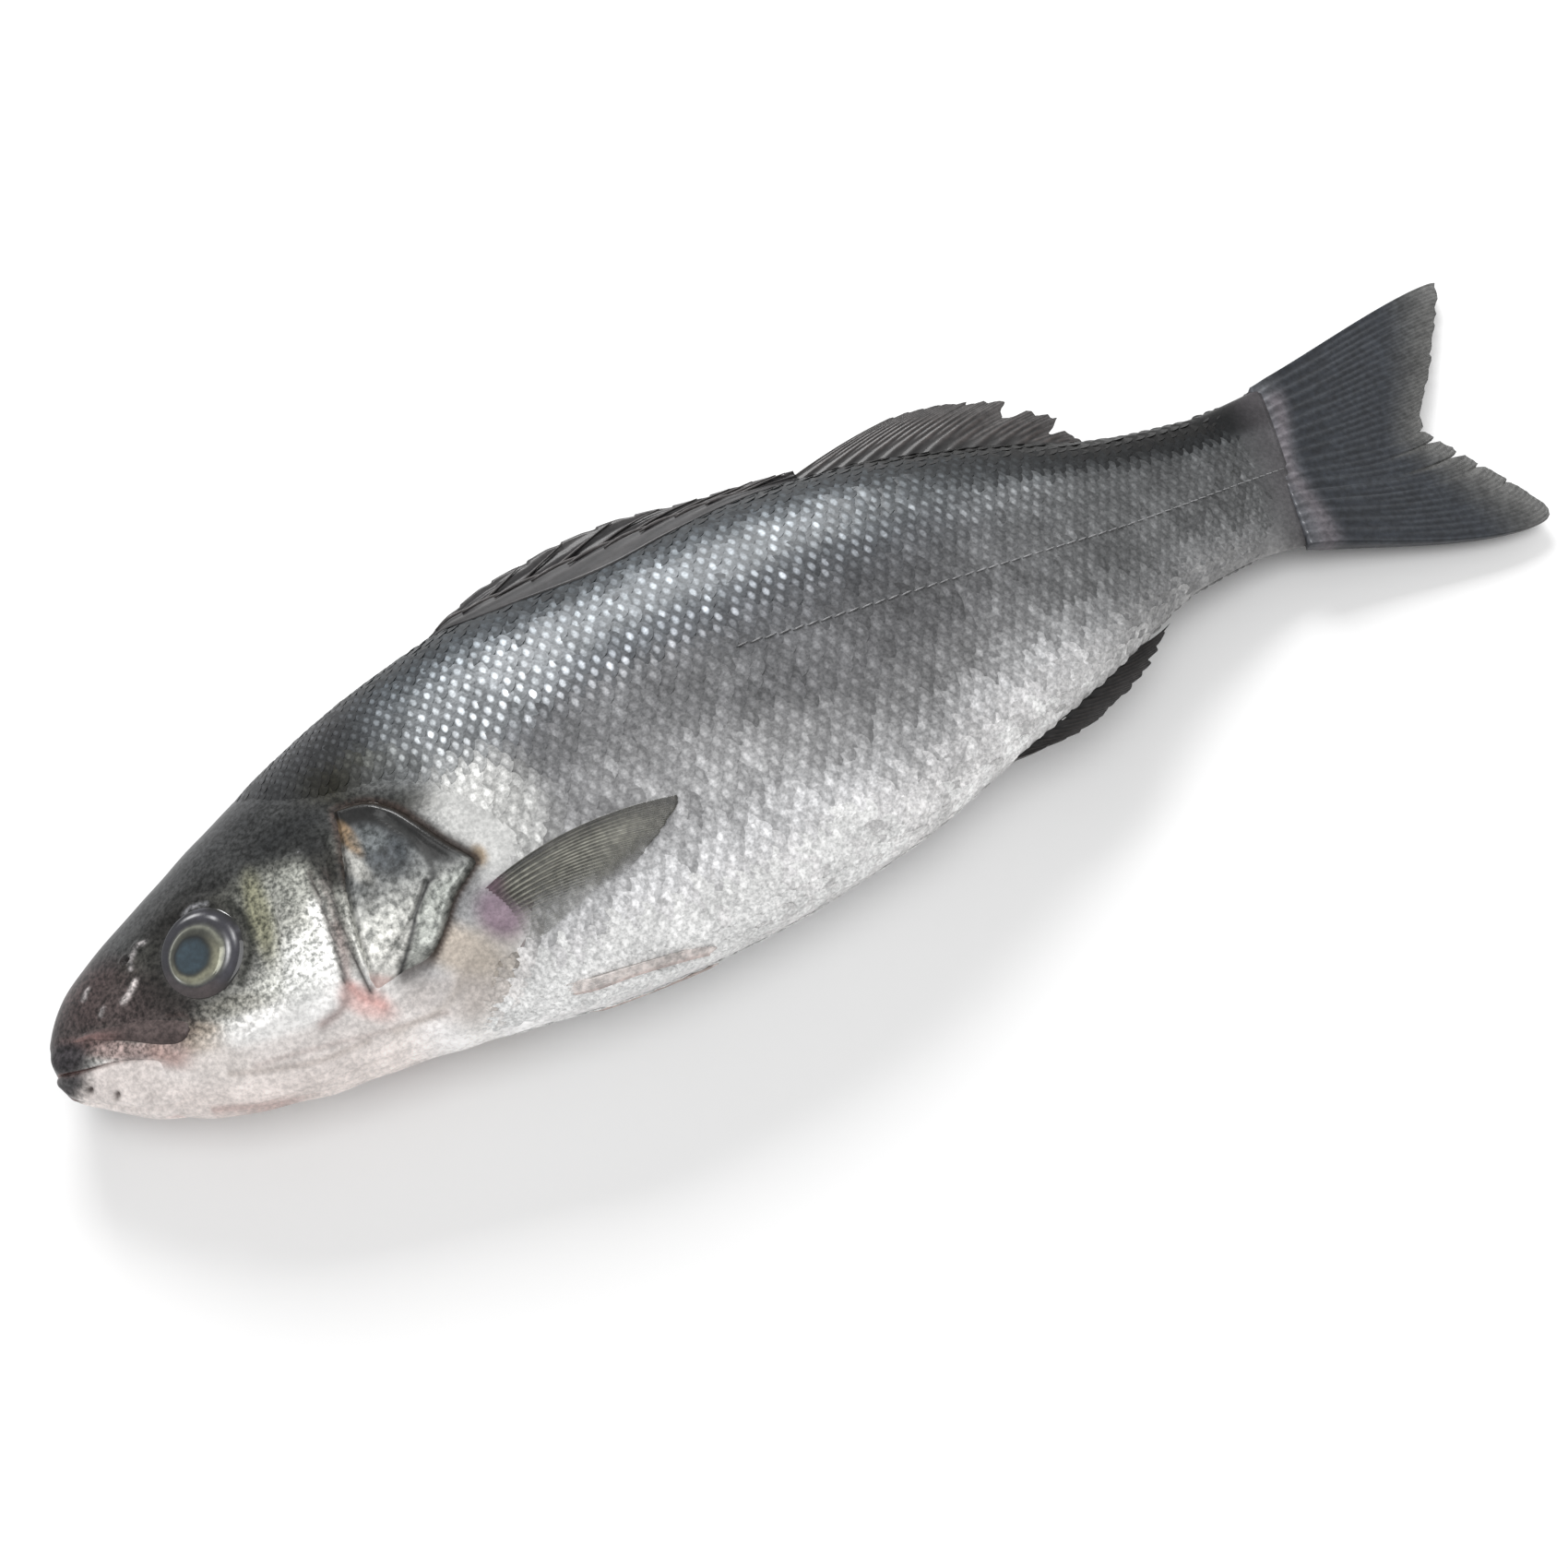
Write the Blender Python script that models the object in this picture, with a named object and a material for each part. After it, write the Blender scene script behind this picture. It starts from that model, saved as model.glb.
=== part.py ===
# A whole raw sea bass, lying on its right side with its fins folded.
# Blender 4.5, metres, +Z up. The body runs along X with the tail at +X, and the back faces +Y.
# Everything is modelled from the tip of the snout, then centred above the surface it lies on.

import math

import bmesh
import bpy
from mathutils import Vector

# ---------------------------------------------------------------- driving dimensions

mm = 0.001
gap = 0.3 * mm                   # clearance between neighbouring pieces
body_length = 279 * mm           # snout tip to the root of the tail fin
tail_root_slant = 0.30           # the tail root leans back towards the dorsal side

spine_height = 19.5 * mm         # mid-plane above the surface at the thickest part
head_droop = 7 * mm              # how far the snout hangs below that height
head_droop_start = 112 * mm
tail_droop = 13 * mm             # fall of the mid-plane over the same length again
tail_droop_start = 146.5 * mm
tail_rest_height = 0.9 * mm      # mid-plane of the tail fin where it settles on the surface

section_fullness = 0.90          # below 1 the flanks are fuller than an ellipse
section_skew = 0.06              # the widest point lies slightly towards the back

# Distance from the snout, back outline, belly outline, half width.
stations = [
    (0.0, 1.0, -5.5, 1.6),
    (1.5, 5.5, -8.0, 4.0),
    (6.0, 10.8, -11.8, 6.4),
    (12.5, 14.8, -16.6, 9.0),
    (27.0, 20.8, -24.8, 13.0),
    (44.0, 27.8, -30.0, 16.2),
    (61.0, 34.4, -32.6, 18.4),
    (84.0, 40.6, -37.4, 20.2),
    (107.0, 43.8, -41.4, 20.9),
    (132.0, 43.8, -42.4, 20.5),
    (161.0, 42.8, -40.2, 18.8),
    (189.0, 39.8, -33.8, 15.6),
    (218.0, 32.2, -26.2, 11.2),
    (246.0, 22.0, -17.4, 6.8),
    (264.0, 18.8, -16.4, 4.2),
    (279.0, 19.6, -18.0, 1.8),
]
ring_count = 44
ring_sides = 32
dorsal, ventral, half_width = 1, 2, 3

eye_place = (33.5, 1.5)          # distance from the snout, height towards the back
eye_radius = 8.0 * mm
eye_depth = 3.4 * mm
eye_proud = 0.9 * mm

cover_thickness = 1.3 * mm
cover_proud = 0.3 * mm
blade_thickness = 0.6 * mm

skin_dark = (0.070, 0.078, 0.090)
skin_silver = (0.33, 0.34, 0.35)
fin_grey = (0.075, 0.080, 0.088)
fin_olive = (0.17, 0.165, 0.14)


# ---------------------------------------------------------------- body shape

def smooth_through(points, place):
    """Monotone cubic through (x, y) points, so that no bump appears between them."""
    xs = [point[0] for point in points]
    ys = [point[1] for point in points]
    place = min(max(place, xs[0]), xs[-1])
    widths = [b - a for a, b in zip(xs, xs[1:])]
    rises = [(b - a) / w for a, b, w in zip(ys, ys[1:], widths)]
    slopes = [rises[0]]
    for before, after, left, right in zip(rises, rises[1:], widths, widths[1:]):
        if before * after <= 0:
            slopes.append(0.0)
        else:
            near, far = 2 * right + left, right + 2 * left
            slopes.append((near + far) / (near / before + far / after))
    slopes.append(rises[-1])
    index = max(i for i in range(len(widths)) if i == 0 or xs[i] <= place)
    s, w = (place - xs[index]) / widths[index], widths[index]
    rise = (3 * s * s - 2 * s * s * s) * (ys[index + 1] - ys[index])
    return (ys[index] + rise + s * (1 - s) ** 2 * w * slopes[index]
            - s * s * (1 - s) * w * slopes[index + 1])


def outline(column, x):
    return smooth_through([(row[0], row[column]) for row in stations], x / mm) * mm


def plane_height(x):
    """Height of the fish's middle plane: it sags to the snout and to the tail."""
    head = max(0.0, 1 - x / head_droop_start)
    length = body_length / 2 + 3 * mm
    tail = max(0.0, min(x, body_length) - tail_droop_start) / length
    height = spine_height - head_droop * head ** 2 - tail_droop * tail ** 2
    if x > body_length:
        fall = height - tail_rest_height
        slope = 2 * tail_droop * tail / length
        height = tail_rest_height + fall * math.exp(-(x - body_length) * slope / fall)
    return height


def section(x):
    top, bottom = outline(dorsal, x), outline(ventral, x)
    return (top + bottom) / 2, (top - bottom) / 2


def angle_at(x, y):
    """Angle round the section, from the back, of a point at height y on the flank."""
    centre, half_depth = section(x)
    return math.acos(min(max((y - centre) / half_depth, -0.998), 0.998))


def skin(x, angle, side=1, lift=0.0, floor=None):
    """A point on the skin; side is 1 on the left flank (upwards), -1 on the right."""
    centre, half_depth = section(x)
    width = outline(half_width, x)

    def place(a):
        bulge = max(math.sin(a), 0.0) ** section_fullness * (1 + section_skew * math.cos(a))
        return Vector((0, centre + half_depth * math.cos(a), side * width * bulge))

    step = 0.02
    along = place(min(angle + step, math.pi)) - place(max(angle - step, 0.0))
    out = Vector((0, -along.z, along.y)).normalized() * -side
    point = place(angle) + out * lift
    point.z += plane_height(x)
    if floor is not None:
        point.z = max(point.z, floor)
    ease = smooth_step((x - 0.85 * body_length) / (0.15 * body_length))
    point.x = x + ease * tail_root_slant * point.y
    return point


def smooth_step(t):
    t = min(max(t, 0.0), 1.0)
    return t * t * (3 - 2 * t)


# ---------------------------------------------------------------- building solids

def material(name, colour, roughness, metallic=0.0):
    made = bpy.data.materials.new(name)
    made.use_nodes = True
    shader = made.node_tree.nodes["Principled BSDF"]
    shader.inputs["Base Color"].default_value = (*colour, 1)
    shader.inputs["Roughness"].default_value = roughness
    shader.inputs["Metallic"].default_value = metallic
    return made


def add_object(name, points, faces, look=None):
    mesh = bpy.data.meshes.new(name)
    mesh.from_pydata([tuple(point) for point in points], [], faces)
    work = bmesh.new()
    work.from_mesh(mesh)
    bmesh.ops.recalc_face_normals(work, faces=work.faces)
    work.to_mesh(mesh)
    work.free()
    mesh.shade_smooth()
    made = bpy.data.objects.new(name, mesh)
    bpy.context.scene.collection.objects.link(made)
    made.parent = fish
    if look:
        mesh.materials.append(look)
    else:
        made.hide_render = True
        made.display_type = "WIRE"
    return made


def add_sheet(name, outer, inner, look=None):
    """Closed solid between two grids of points of the same size."""
    rows, columns = len(outer), len(outer[0])
    points = [point for grid in (outer, inner) for row in grid for point in row]
    half = rows * columns

    def at(layer, row, column):
        return layer * half + row * columns + column

    faces = []
    for row in range(rows - 1):
        for column in range(columns - 1):
            corners = [(row, column), (row + 1, column), (row + 1, column + 1), (row, column + 1)]
            faces.append([at(0, *corner) for corner in corners])
            faces.append([at(1, *corner) for corner in reversed(corners)])
    rim = [(0, c) for c in range(columns)] + [(r, columns - 1) for r in range(1, rows)]
    rim += [(rows - 1, c) for c in range(columns - 2, -1, -1)]
    rim += [(r, 0) for r in range(rows - 2, 0, -1)]
    for here, there in zip(rim, rim[1:] + rim[:1]):
        faces.append([at(0, *here), at(0, *there), at(1, *there), at(1, *here)])
    return add_object(name, points, faces, look)


def cut(target, cutter, operation="DIFFERENCE"):
    step = target.modifiers.new(cutter.name, "BOOLEAN")
    step.operation = operation
    step.solver = "EXACT"
    step.object = cutter


def along(points, share):
    """Point at a share of a smooth curve through (x, y) points, both in millimetres."""
    steps = [0.0]
    for here, there in zip(points, points[1:]):
        steps.append(steps[-1] + math.dist(here, there))
    place = share * steps[-1]
    return (smooth_through(list(zip(steps, [p[0] for p in points])), place) * mm,
            smooth_through(list(zip(steps, [p[1] for p in points])), place) * mm)


# ---------------------------------------------------------------- trunk, jaw and eyes

def body_solid(name, look):
    """The whole outer shape of head and trunk, flattened where it lies on the surface."""
    points, faces = [], []
    for ring in range(ring_count + 1):
        share = ring / ring_count
        x = body_length * (0.35 * share * share + 0.65 * share)
        for side in range(ring_sides):
            turn = 2 * math.pi * side / ring_sides
            flank = 1 if turn <= math.pi else -1
            angle = turn if flank == 1 else 2 * math.pi - turn
            points.append(skin(x, angle, flank, floor=0.0))
    for ring in range(ring_count):
        for side in range(ring_sides):
            after = (side + 1) % ring_sides
            a, b = ring * ring_sides, (ring + 1) * ring_sides
            faces.append([a + side, a + after, b + after, b + side])
    faces.append(list(range(ring_sides)))
    faces.append([ring_count * ring_sides + side for side in range(ring_sides)])
    return add_object(name, points, faces, look)


def jaw_block(name, slide):
    """Block below the mouth line, reaching back to the jaw joint."""
    mouth_line = [(-6, -1.6), (0, -2.0), (5, -4.2), (11, -7.0), (16, -9.2), (22, -12.0), (27, -14.4)]
    edge = mouth_line + [(36, -20), (41, -40), (-6, -40)]
    points = [Vector((x * mm - slide, y * mm - 1.3 * slide, z))
              for z in (-0.02, 0.06) for x, y in edge]
    count = len(edge)
    faces = [list(range(count)), list(range(count, 2 * count))]
    faces += [[i, (i + 1) % count, count + (i + 1) % count, count + i] for i in range(count)]
    return add_object(name, points, faces)


def eye_solid(name, side, grow, look=None):
    """A flattened ball set in the side of the head, facing out of the skin."""
    x, y = eye_place[0] * mm, eye_place[1] * mm
    angle = angle_at(x, y)
    here = skin(x, angle, side)
    down = skin(x, angle + 0.1, side) - here
    back = skin(x + 2 * mm, angle_at(x + 2 * mm, y), side) - here
    out = back.cross(down).normalized() * (-side)
    across = back.normalized()
    up = out.cross(across)
    centre = here + out * (eye_proud - eye_depth)
    around, rows = 28, 14
    points = [centre + out * (eye_depth + grow), centre - out * (eye_depth + grow)]
    faces = []
    for row in range(1, rows):
        polar = math.pi * row / rows
        for turn in range(around):
            a = 2 * math.pi * turn / around
            flat = (across * math.cos(a) + up * math.sin(a)) * math.sin(polar)
            points.append(centre + flat * (eye_radius + grow)
                          + out * math.cos(polar) * (eye_depth + grow))
    for turn in range(around):
        after = (turn + 1) % around
        faces.append([0, 2 + turn, 2 + after])
        last = 2 + (rows - 2) * around
        faces.append([1, last + after, last + turn])
        for row in range(rows - 2):
            a, b = 2 + row * around, 2 + (row + 1) * around
            faces.append([a + turn, b + turn, b + after, a + after])
    return add_object(name, points, faces, look)


# ---------------------------------------------------------------- gill covers and paired fins

cover_front = [(67, 13), (62, 6), (61, -1), (59, -8), (56, -16), (53, -23), (50, -27)]
cover_rear = [(68, 14), (76, 11), (82, 4), (86, -3), (87, -9), (83, -15), (77, -21), (69, -26),
              (60, -29), (51, -28)]


def cover_solid(name, side, outer_lift, inner_lift, floors, spread, look=None):
    """Gill cover: a curved plate following the head's skin, pointed at its two ends."""
    rows, columns = 13, 7

    def grid(lift, floor):
        result = []
        for row in range(rows):
            share = row / (rows - 1)
            front, rear = along(cover_front, share), along(cover_rear, share)
            line = []
            for column in range(columns):
                across = column / (columns - 1)
                reach = across * 2 - 1
                x = front[0] + (rear[0] - front[0]) * across + reach * spread
                y = front[1] + (rear[1] - front[1]) * across + (1 - 2 * share) * spread
                line.append(skin(x, angle_at(x, y), side, lift, floor))
            result.append(line)
        return result

    return add_sheet(name, grid(outer_lift, floors[0]), grid(inner_lift, floors[1]), look)


def blade_on_skin(name, side, upper, lower, sag, look):
    """A folded fin lying along the skin between two edge curves given as (x, y)."""
    rows, columns = 13, 5
    outer, inner = [], []
    for row in range(rows):
        share = row / (rows - 1)
        top, bottom = along(upper, share), along(lower, share)
        thick = blade_thickness * (1 - 0.4 * share)
        lines = ([], [])
        for column in range(columns):
            across = column / (columns - 1)
            x = top[0] + (bottom[0] - top[0]) * across
            y = top[1] + (bottom[1] - top[1]) * across
            angle = angle_at(x, y)
            point = skin(x, angle, side, gap)
            point.z *= 1 - sag * share
            over = skin(x, angle, side, gap + thick) - skin(x, angle, side, gap)
            lines[0].append(lift_to_floor(point + over))
            lines[1].append(lift_to_floor(point, thick))
        outer.append(lines[0])
        inner.append(lines[1])
    return add_sheet(name, outer, inner, look)


def lift_to_floor(point, height=0.0):
    point.z = max(point.z, height)
    return point


# ---------------------------------------------------------------- fins on the middle plane

def plane_fin(name, root, tip, root_thickness, tip_thickness, columns, look):
    """A thin fin in the middle plane, ruled from its root curve to its free edge."""
    rows = 5
    outer, inner = [], []
    for row in range(rows):
        share = row / (rows - 1)
        lines = ([], [])
        for column in range(columns):
            place = column / (columns - 1)
            start, end = root(place), along(tip, place)
            x = start[0] + (end[0] - start[0]) * share
            y = start[1] + (end[1] - start[1]) * share
            thick = root_thickness + (tip_thickness - root_thickness) * share
            height = plane_height(x)
            lines[0].append(Vector((x, y, height + thick / 2)))
            lines[1].append(Vector((x, y, height - thick / 2)))
        outer.append(lines[0])
        inner.append(lines[1])
    return add_sheet(name, outer, inner, look)


def root_on_outline(column, start, end):
    """Root of a fin on the back or the belly, just clear of the skin."""
    away = 1 if column == dorsal else -1

    def root(place):
        x = (start + (end - start) * place) * mm
        return x, outline(column, x) + away * 1.6 * gap

    return root


def tail_root(place):
    top, bottom = outline(dorsal, body_length), outline(ventral, body_length)
    y = top + (bottom - top) * place
    return body_length + tail_root_slant * y + gap, y


# ---------------------------------------------------------------- the fish

for old in list(bpy.data.objects):
    bpy.data.objects.remove(old, do_unlink=True)
fish = bpy.data.objects.new("fish", None)
bpy.context.scene.collection.objects.link(fish)

skin_look = material("skin", skin_silver, 0.30, 0.35)
jaw_look = material("jaw_skin", (0.62, 0.56, 0.55), 0.35)
cover_look = material("gill_cover_skin", (0.26, 0.26, 0.26), 0.25, 0.45)
eye_look = material("eye", (0.05, 0.07, 0.09), 0.08)
fin_look = material("fin", fin_grey, 0.45)
blade_look = material("clear_fin", fin_olive, 0.40)

whole = body_solid("whole_shape", None)
body = body_solid("body", skin_look)
cut(body, jaw_block("jaw_space", 0.0))
jaw = jaw_block("lower_jaw", gap)
jaw.hide_render = False
jaw.display_type = "TEXTURED"
jaw.data.materials.append(jaw_look)
cut(jaw, whole, "INTERSECT")

for side, word in ((1, "left"), (-1, "right")):
    eye_solid(f"eye_{word}", side, 0.0, eye_look)
    cut(body, eye_solid(f"socket_{word}", side, gap))
    cover_solid(f"gill_cover_{word}", side, cover_proud, -cover_thickness,
                (0.0, 0.9 * mm), 0.0, cover_look)
    cut(body, cover_solid(f"gill_pocket_{word}", side, 4 * mm, -cover_thickness - gap,
                          (-4 * mm, 0.9 * mm + gap), 1.5 * gap))

blade_on_skin("pectoral_fin_left", 1,
              [(84, -16.0), (96, -13.6), (110, -12.8), (120, -14.2), (125.5, -16.2)],
              [(85, -25.5), (98, -23.8), (110, -21.8), (120, -19.6), (126, -17.6)], 0.0, blade_look)
blade_on_skin("pectoral_fin_right", -1,
              [(84, -18.5), (97, -20.0), (110, -22.0), (118, -25.0), (123, -28.6)],
              [(85, -27.5), (96, -29.6), (107, -31.2), (116, -31.6), (122, -30.4)], 0.5, blade_look)
for side, word in ((1, "left"), (-1, "right")):
    blade_on_skin(f"pelvic_fin_{word}", side,
                  [(87, -33.4), (100, -36.6), (112, -38.2), (122, -39.6)],
                  [(87, -37.0), (100, -39.6), (112, -40.9), (122, -41.4)], 0.0, blade_look)

plane_fin("first_dorsal_fin", root_on_outline(dorsal, 101, 178),
          [(104, 45.6), (114, 48.4), (124, 49.9), (138, 49.9), (154, 48.0), (168, 46.2), (181, 44.6)],
          1.8 * mm, 0.8 * mm, 19, fin_look)
plane_fin("second_dorsal_fin", root_on_outline(dorsal, 184, 230),
          [(189, 45.4), (198, 47.2), (211, 47.2), (222, 44.4), (232, 40.6), (238, 34.0), (241, 26.0)],
          1.8 * mm, 0.8 * mm, 15, fin_look)
plane_fin("anal_fin", root_on_outline(ventral, 187, 221),
          [(195, -37.4), (205, -38.0), (216, -34.6), (226, -29.6), (234, -22.6)],
          1.8 * mm, 0.8 * mm, 11, fin_look)
plane_fin("caudal_fin", tail_root,
          [(338, 27.6), (334.5, 19), (325, 8), (317, 1), (312.5, -6), (314, -12), (319, -20),
           (323.5, -27), (326.5, -34.5)],
          3.2 * mm, 0.8 * mm, 21, fin_look)

bpy.context.view_layer.update()
solids = [item for item in fish.children if not item.hide_render]
corners = [item.matrix_world @ vertex.co for item in solids for vertex in item.data.vertices
           if item.name != "lower_jaw"]
low = [min(corner[axis] for corner in corners) for axis in range(3)]
high = [max(corner[axis] for corner in corners) for axis in range(3)]
fish.location = (-(low[0] + high[0]) / 2, -(low[1] + high[1]) / 2, -low[2])
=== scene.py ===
import math

import bmesh
import bpy
import numpy as np
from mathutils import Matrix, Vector


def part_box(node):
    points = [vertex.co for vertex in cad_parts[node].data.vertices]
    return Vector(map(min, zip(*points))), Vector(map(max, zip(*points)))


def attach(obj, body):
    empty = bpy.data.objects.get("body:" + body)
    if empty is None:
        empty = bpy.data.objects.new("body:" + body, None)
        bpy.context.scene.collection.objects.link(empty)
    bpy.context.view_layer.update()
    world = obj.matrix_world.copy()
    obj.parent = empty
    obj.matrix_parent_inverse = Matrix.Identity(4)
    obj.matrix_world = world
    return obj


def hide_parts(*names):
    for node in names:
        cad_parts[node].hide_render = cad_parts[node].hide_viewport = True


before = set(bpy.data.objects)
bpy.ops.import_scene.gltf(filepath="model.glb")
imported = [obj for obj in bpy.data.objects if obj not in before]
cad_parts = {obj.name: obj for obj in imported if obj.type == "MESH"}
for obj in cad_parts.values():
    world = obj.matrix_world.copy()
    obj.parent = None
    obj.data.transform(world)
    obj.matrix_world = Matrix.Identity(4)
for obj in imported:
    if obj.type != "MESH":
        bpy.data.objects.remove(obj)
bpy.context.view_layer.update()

# A whole raw sea bass on its right side. Shapes are worked out in millimetres from the tip of
# the snout (x towards the tail, y towards the back, z up) and moved to the frame's metres last.
mm = 0.001
floorGap = 0.02     # least height above the floor

fishShape = {
    "length": 279.0,            # snout to the root of the tail fin
    "rootSlant": 0.3,          # the tail root leans back towards the back
    "spineHeight": 19.5,
    "headDroop": 7.0, "headDroopStart": 112.0,
    "tailDroop": 13.0, "tailDroopStart": 146.5,
    "tailRest": 0.9,
    "fullness": 0.9, "skew": 0.06,
    "stations": [               # x, back, belly, half width
        (0, -1.2, -3.6, 0.5), (0.35, 2.6, -6, 2.3), (1.5, 5.5, -8, 4.2),
        (6, 10.8, -11.8, 6.4), (12.5, 14.8, -16.6, 9), (27, 20.8, -24.8, 13),
        (44, 27.8, -30, 16.2), (61, 34.4, -32.6, 18.4), (84, 40.6, -37.4, 20.2),
        (107, 43.8, -41.4, 20.9), (132, 43.8, -42.4, 20.5), (161, 42.8, -40.2, 18.8),
        (189, 39.8, -33.8, 15.6), (218, 32.2, -26.2, 11.2), (246, 22, -17.4, 6.8),
        (264, 18.8, -16.4, 4.2), (279, 19.6, -18, 1.8)],
}
bodyLow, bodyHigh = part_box("body")
highestBack = max(row[1] for row in fishShape["stations"])
snout = np.array([bodyLow.x, bodyHigh.y - highestBack * mm, 0.0])


def smoothCurve(points):
    # monotone cubic through (x, y) points, as a function of x
    xs, ys = np.array(points, float).T
    widths = np.diff(xs)
    rises = np.diff(ys) / widths
    slopes = np.zeros(len(xs))
    slopes[0], slopes[-1] = rises[0], rises[-1]
    near, far = 2 * widths[1:] + widths[:-1], widths[1:] + 2 * widths[:-1]
    same = rises[:-1] * rises[1:] > 0
    before, after = np.where(same, rises[:-1], 1.0), np.where(same, rises[1:], 1.0)
    slopes[1:-1] = np.where(same, (near + far) / (near / before + far / after), 0.0)

    def value(at):
        at = np.clip(at, xs[0], xs[-1])
        i = np.clip(np.searchsorted(xs, at, side="right") - 1, 0, len(widths) - 1)
        s = (at - xs[i]) / widths[i]
        return (ys[i] + (3 - 2 * s) * s * s * (ys[i + 1] - ys[i])
                + s * (1 - s) ** 2 * widths[i] * slopes[i]
                - s * s * (1 - s) * widths[i] * slopes[i + 1])

    return value


def smoothStep(t):
    t = np.clip(t, 0.0, 1.0)
    return t * t * (3 - 2 * t)


def rise(distance, width):
    # a smooth step from 0 to 1 as the distance grows to the width
    return smoothStep(distance / width)


def bump(distance, width):
    return np.exp(-(distance / width) ** 2)


def throughPoints(points, closed=False, steps=10):
    # even-handed curve through every point, as a polyline
    p = np.array(points, float)
    p = np.vstack([p[-1:], p, p[:2]]) if closed else np.vstack([2 * p[0] - p[1], p, 2 * p[-1] - p[-2]])
    t = np.linspace(0, 1, steps, endpoint=False)[:, None]
    runs = [0.5 * (2 * b + (c - a) * t + (2 * a - 5 * b + 4 * c - d) * t * t + (3 * b - a - 3 * c + d)
                   * t ** 3)
            for a, b, c, d in zip(p, p[1:], p[2:], p[3:])]
    line = np.vstack(runs)
    return np.vstack([line, line[:1] if closed else p[-2:-1]])


def alongLine(points, share, steps=12):
    # points at shares 0 to 1 of a smooth curve's length
    line = throughPoints(points, steps=steps)
    run = np.concatenate([[0], np.cumsum(np.linalg.norm(np.diff(line, axis=0), axis=1))])
    at = np.asarray(share, float) * run[-1]
    return np.stack([np.interp(at, run, line[:, axis]) for axis in range(line.shape[1])], -1)


def distanceTo(x, y, line):
    best = np.full(np.shape(x), 1e9)
    for (ax, ay), (bx, by) in zip(line, line[1:]):
        dx, dy = bx - ax, by - ay
        t = np.clip(((x - ax) * dx + (y - ay) * dy) / max(dx * dx + dy * dy, 1e-9), 0, 1)
        best = np.minimum(best, (x - ax - t * dx) ** 2 + (y - ay - t * dy) ** 2)
    return np.sqrt(best)


def insideDepth(x, y, loop):
    # distance inside a closed outline, negative outside it
    inside = np.zeros(np.shape(x), bool)
    for (ax, ay), (bx, by) in zip(loop, loop[1:]):
        if ay != by:
            inside ^= ((ay > y) != (by > y)) & (x < ax + (y - ay) * (bx - ax) / (by - ay))
    return np.where(inside, 1, -1) * distanceTo(x, y, loop)


flanks = ((1, "left"), (-1, "right"))
backLine, bellyLine, widthLine = [
    smoothCurve([(row[0], row[column]) for row in fishShape["stations"]]) for column in (1, 2, 3)]


def planeHeight(x):
    # height of the middle plane, which sags to the snout and settles at the tail
    s = fishShape
    head = np.clip(1 - x / s["headDroopStart"], 0, None)
    run = s["length"] / 2 + 3
    tail = np.clip(np.minimum(x, s["length"]) - s["tailDroopStart"], 0, None) / run
    height = s["spineHeight"] - s["headDroop"] * head ** 2 - s["tailDroop"] * tail ** 2
    fall = np.maximum(height - s["tailRest"], 0.1)
    past = np.clip(x - s["length"], 0, None)
    settled = s["tailRest"] + fall * np.exp(-past * 2 * s["tailDroop"] * tail / run / fall)
    return np.where(x > s["length"], settled, height)


def section(x):
    return (backLine(x) + bellyLine(x)) / 2, (backLine(x) - bellyLine(x)) / 2


def levelOf(x, y):
    # share of the section's height, from the belly (-1) to the back (1)
    centre, half = section(x)
    return (y - centre) / half


def plainSkin(x, turn):
    # turn goes round the section from the back: 0 to pi on the upper flank, pi to 2 pi below
    centre, half = section(x)
    sine = np.sin(turn)
    bulge = np.sign(sine) * np.abs(sine) ** fishShape["fullness"] * (1 + fishShape["skew"] * np.cos(turn))
    y = centre + half * np.cos(turn)
    ease = rise(x / fishShape["length"] - 0.85, 0.15)
    return np.stack([x + ease * fishShape["rootSlant"] * y, y, planeHeight(x) + widthLine(x) * bulge], -1)


def skinFrame(x, turn):
    # point on the skin, outward direction and direction to the tail
    x, turn = np.broadcast_arrays(np.asarray(x, float), np.asarray(turn, float))
    rear = plainSkin(x + 0.2, turn) - plainSkin(x - 0.2, turn)
    around = plainSkin(x, turn + 0.01) - plainSkin(x, turn - 0.01)
    out = np.cross(around, rear)
    out /= np.maximum(np.linalg.norm(out, axis=-1, keepdims=True), 1e-9)
    rear /= np.maximum(np.linalg.norm(rear, axis=-1, keepdims=True), 1e-9)
    return plainSkin(x, turn), out, rear


def turnAt(x, y, side):
    turn = np.arccos(np.clip(levelOf(x, y), -0.999, 0.999))
    return turn if side > 0 else 2 * math.pi - turn


def onSkin(x, y, side, lift):
    point, out, _ = skinFrame(x, turnAt(x, y, side))
    return point + out * np.asarray(lift)[..., None]


def addObject(name, data):
    made = bpy.data.objects.new(name, data)
    bpy.context.scene.collection.objects.link(made)
    return made


def addUv(mesh, uv):
    layer = mesh.uv_layers.new(name="pieceUV")
    corners = np.zeros(len(mesh.loops), int)
    mesh.loops.foreach_get("vertex_index", corners)
    layer.data.foreach_set("uv", np.asarray(uv, float).reshape(-1, 2)[corners].ravel())


def turnOutwards(mesh):
    work = bmesh.new()
    work.from_mesh(mesh)
    bmesh.ops.recalc_face_normals(work, faces=work.faces)
    work.to_mesh(mesh)
    work.free()
    mesh.shade_smooth()


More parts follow.
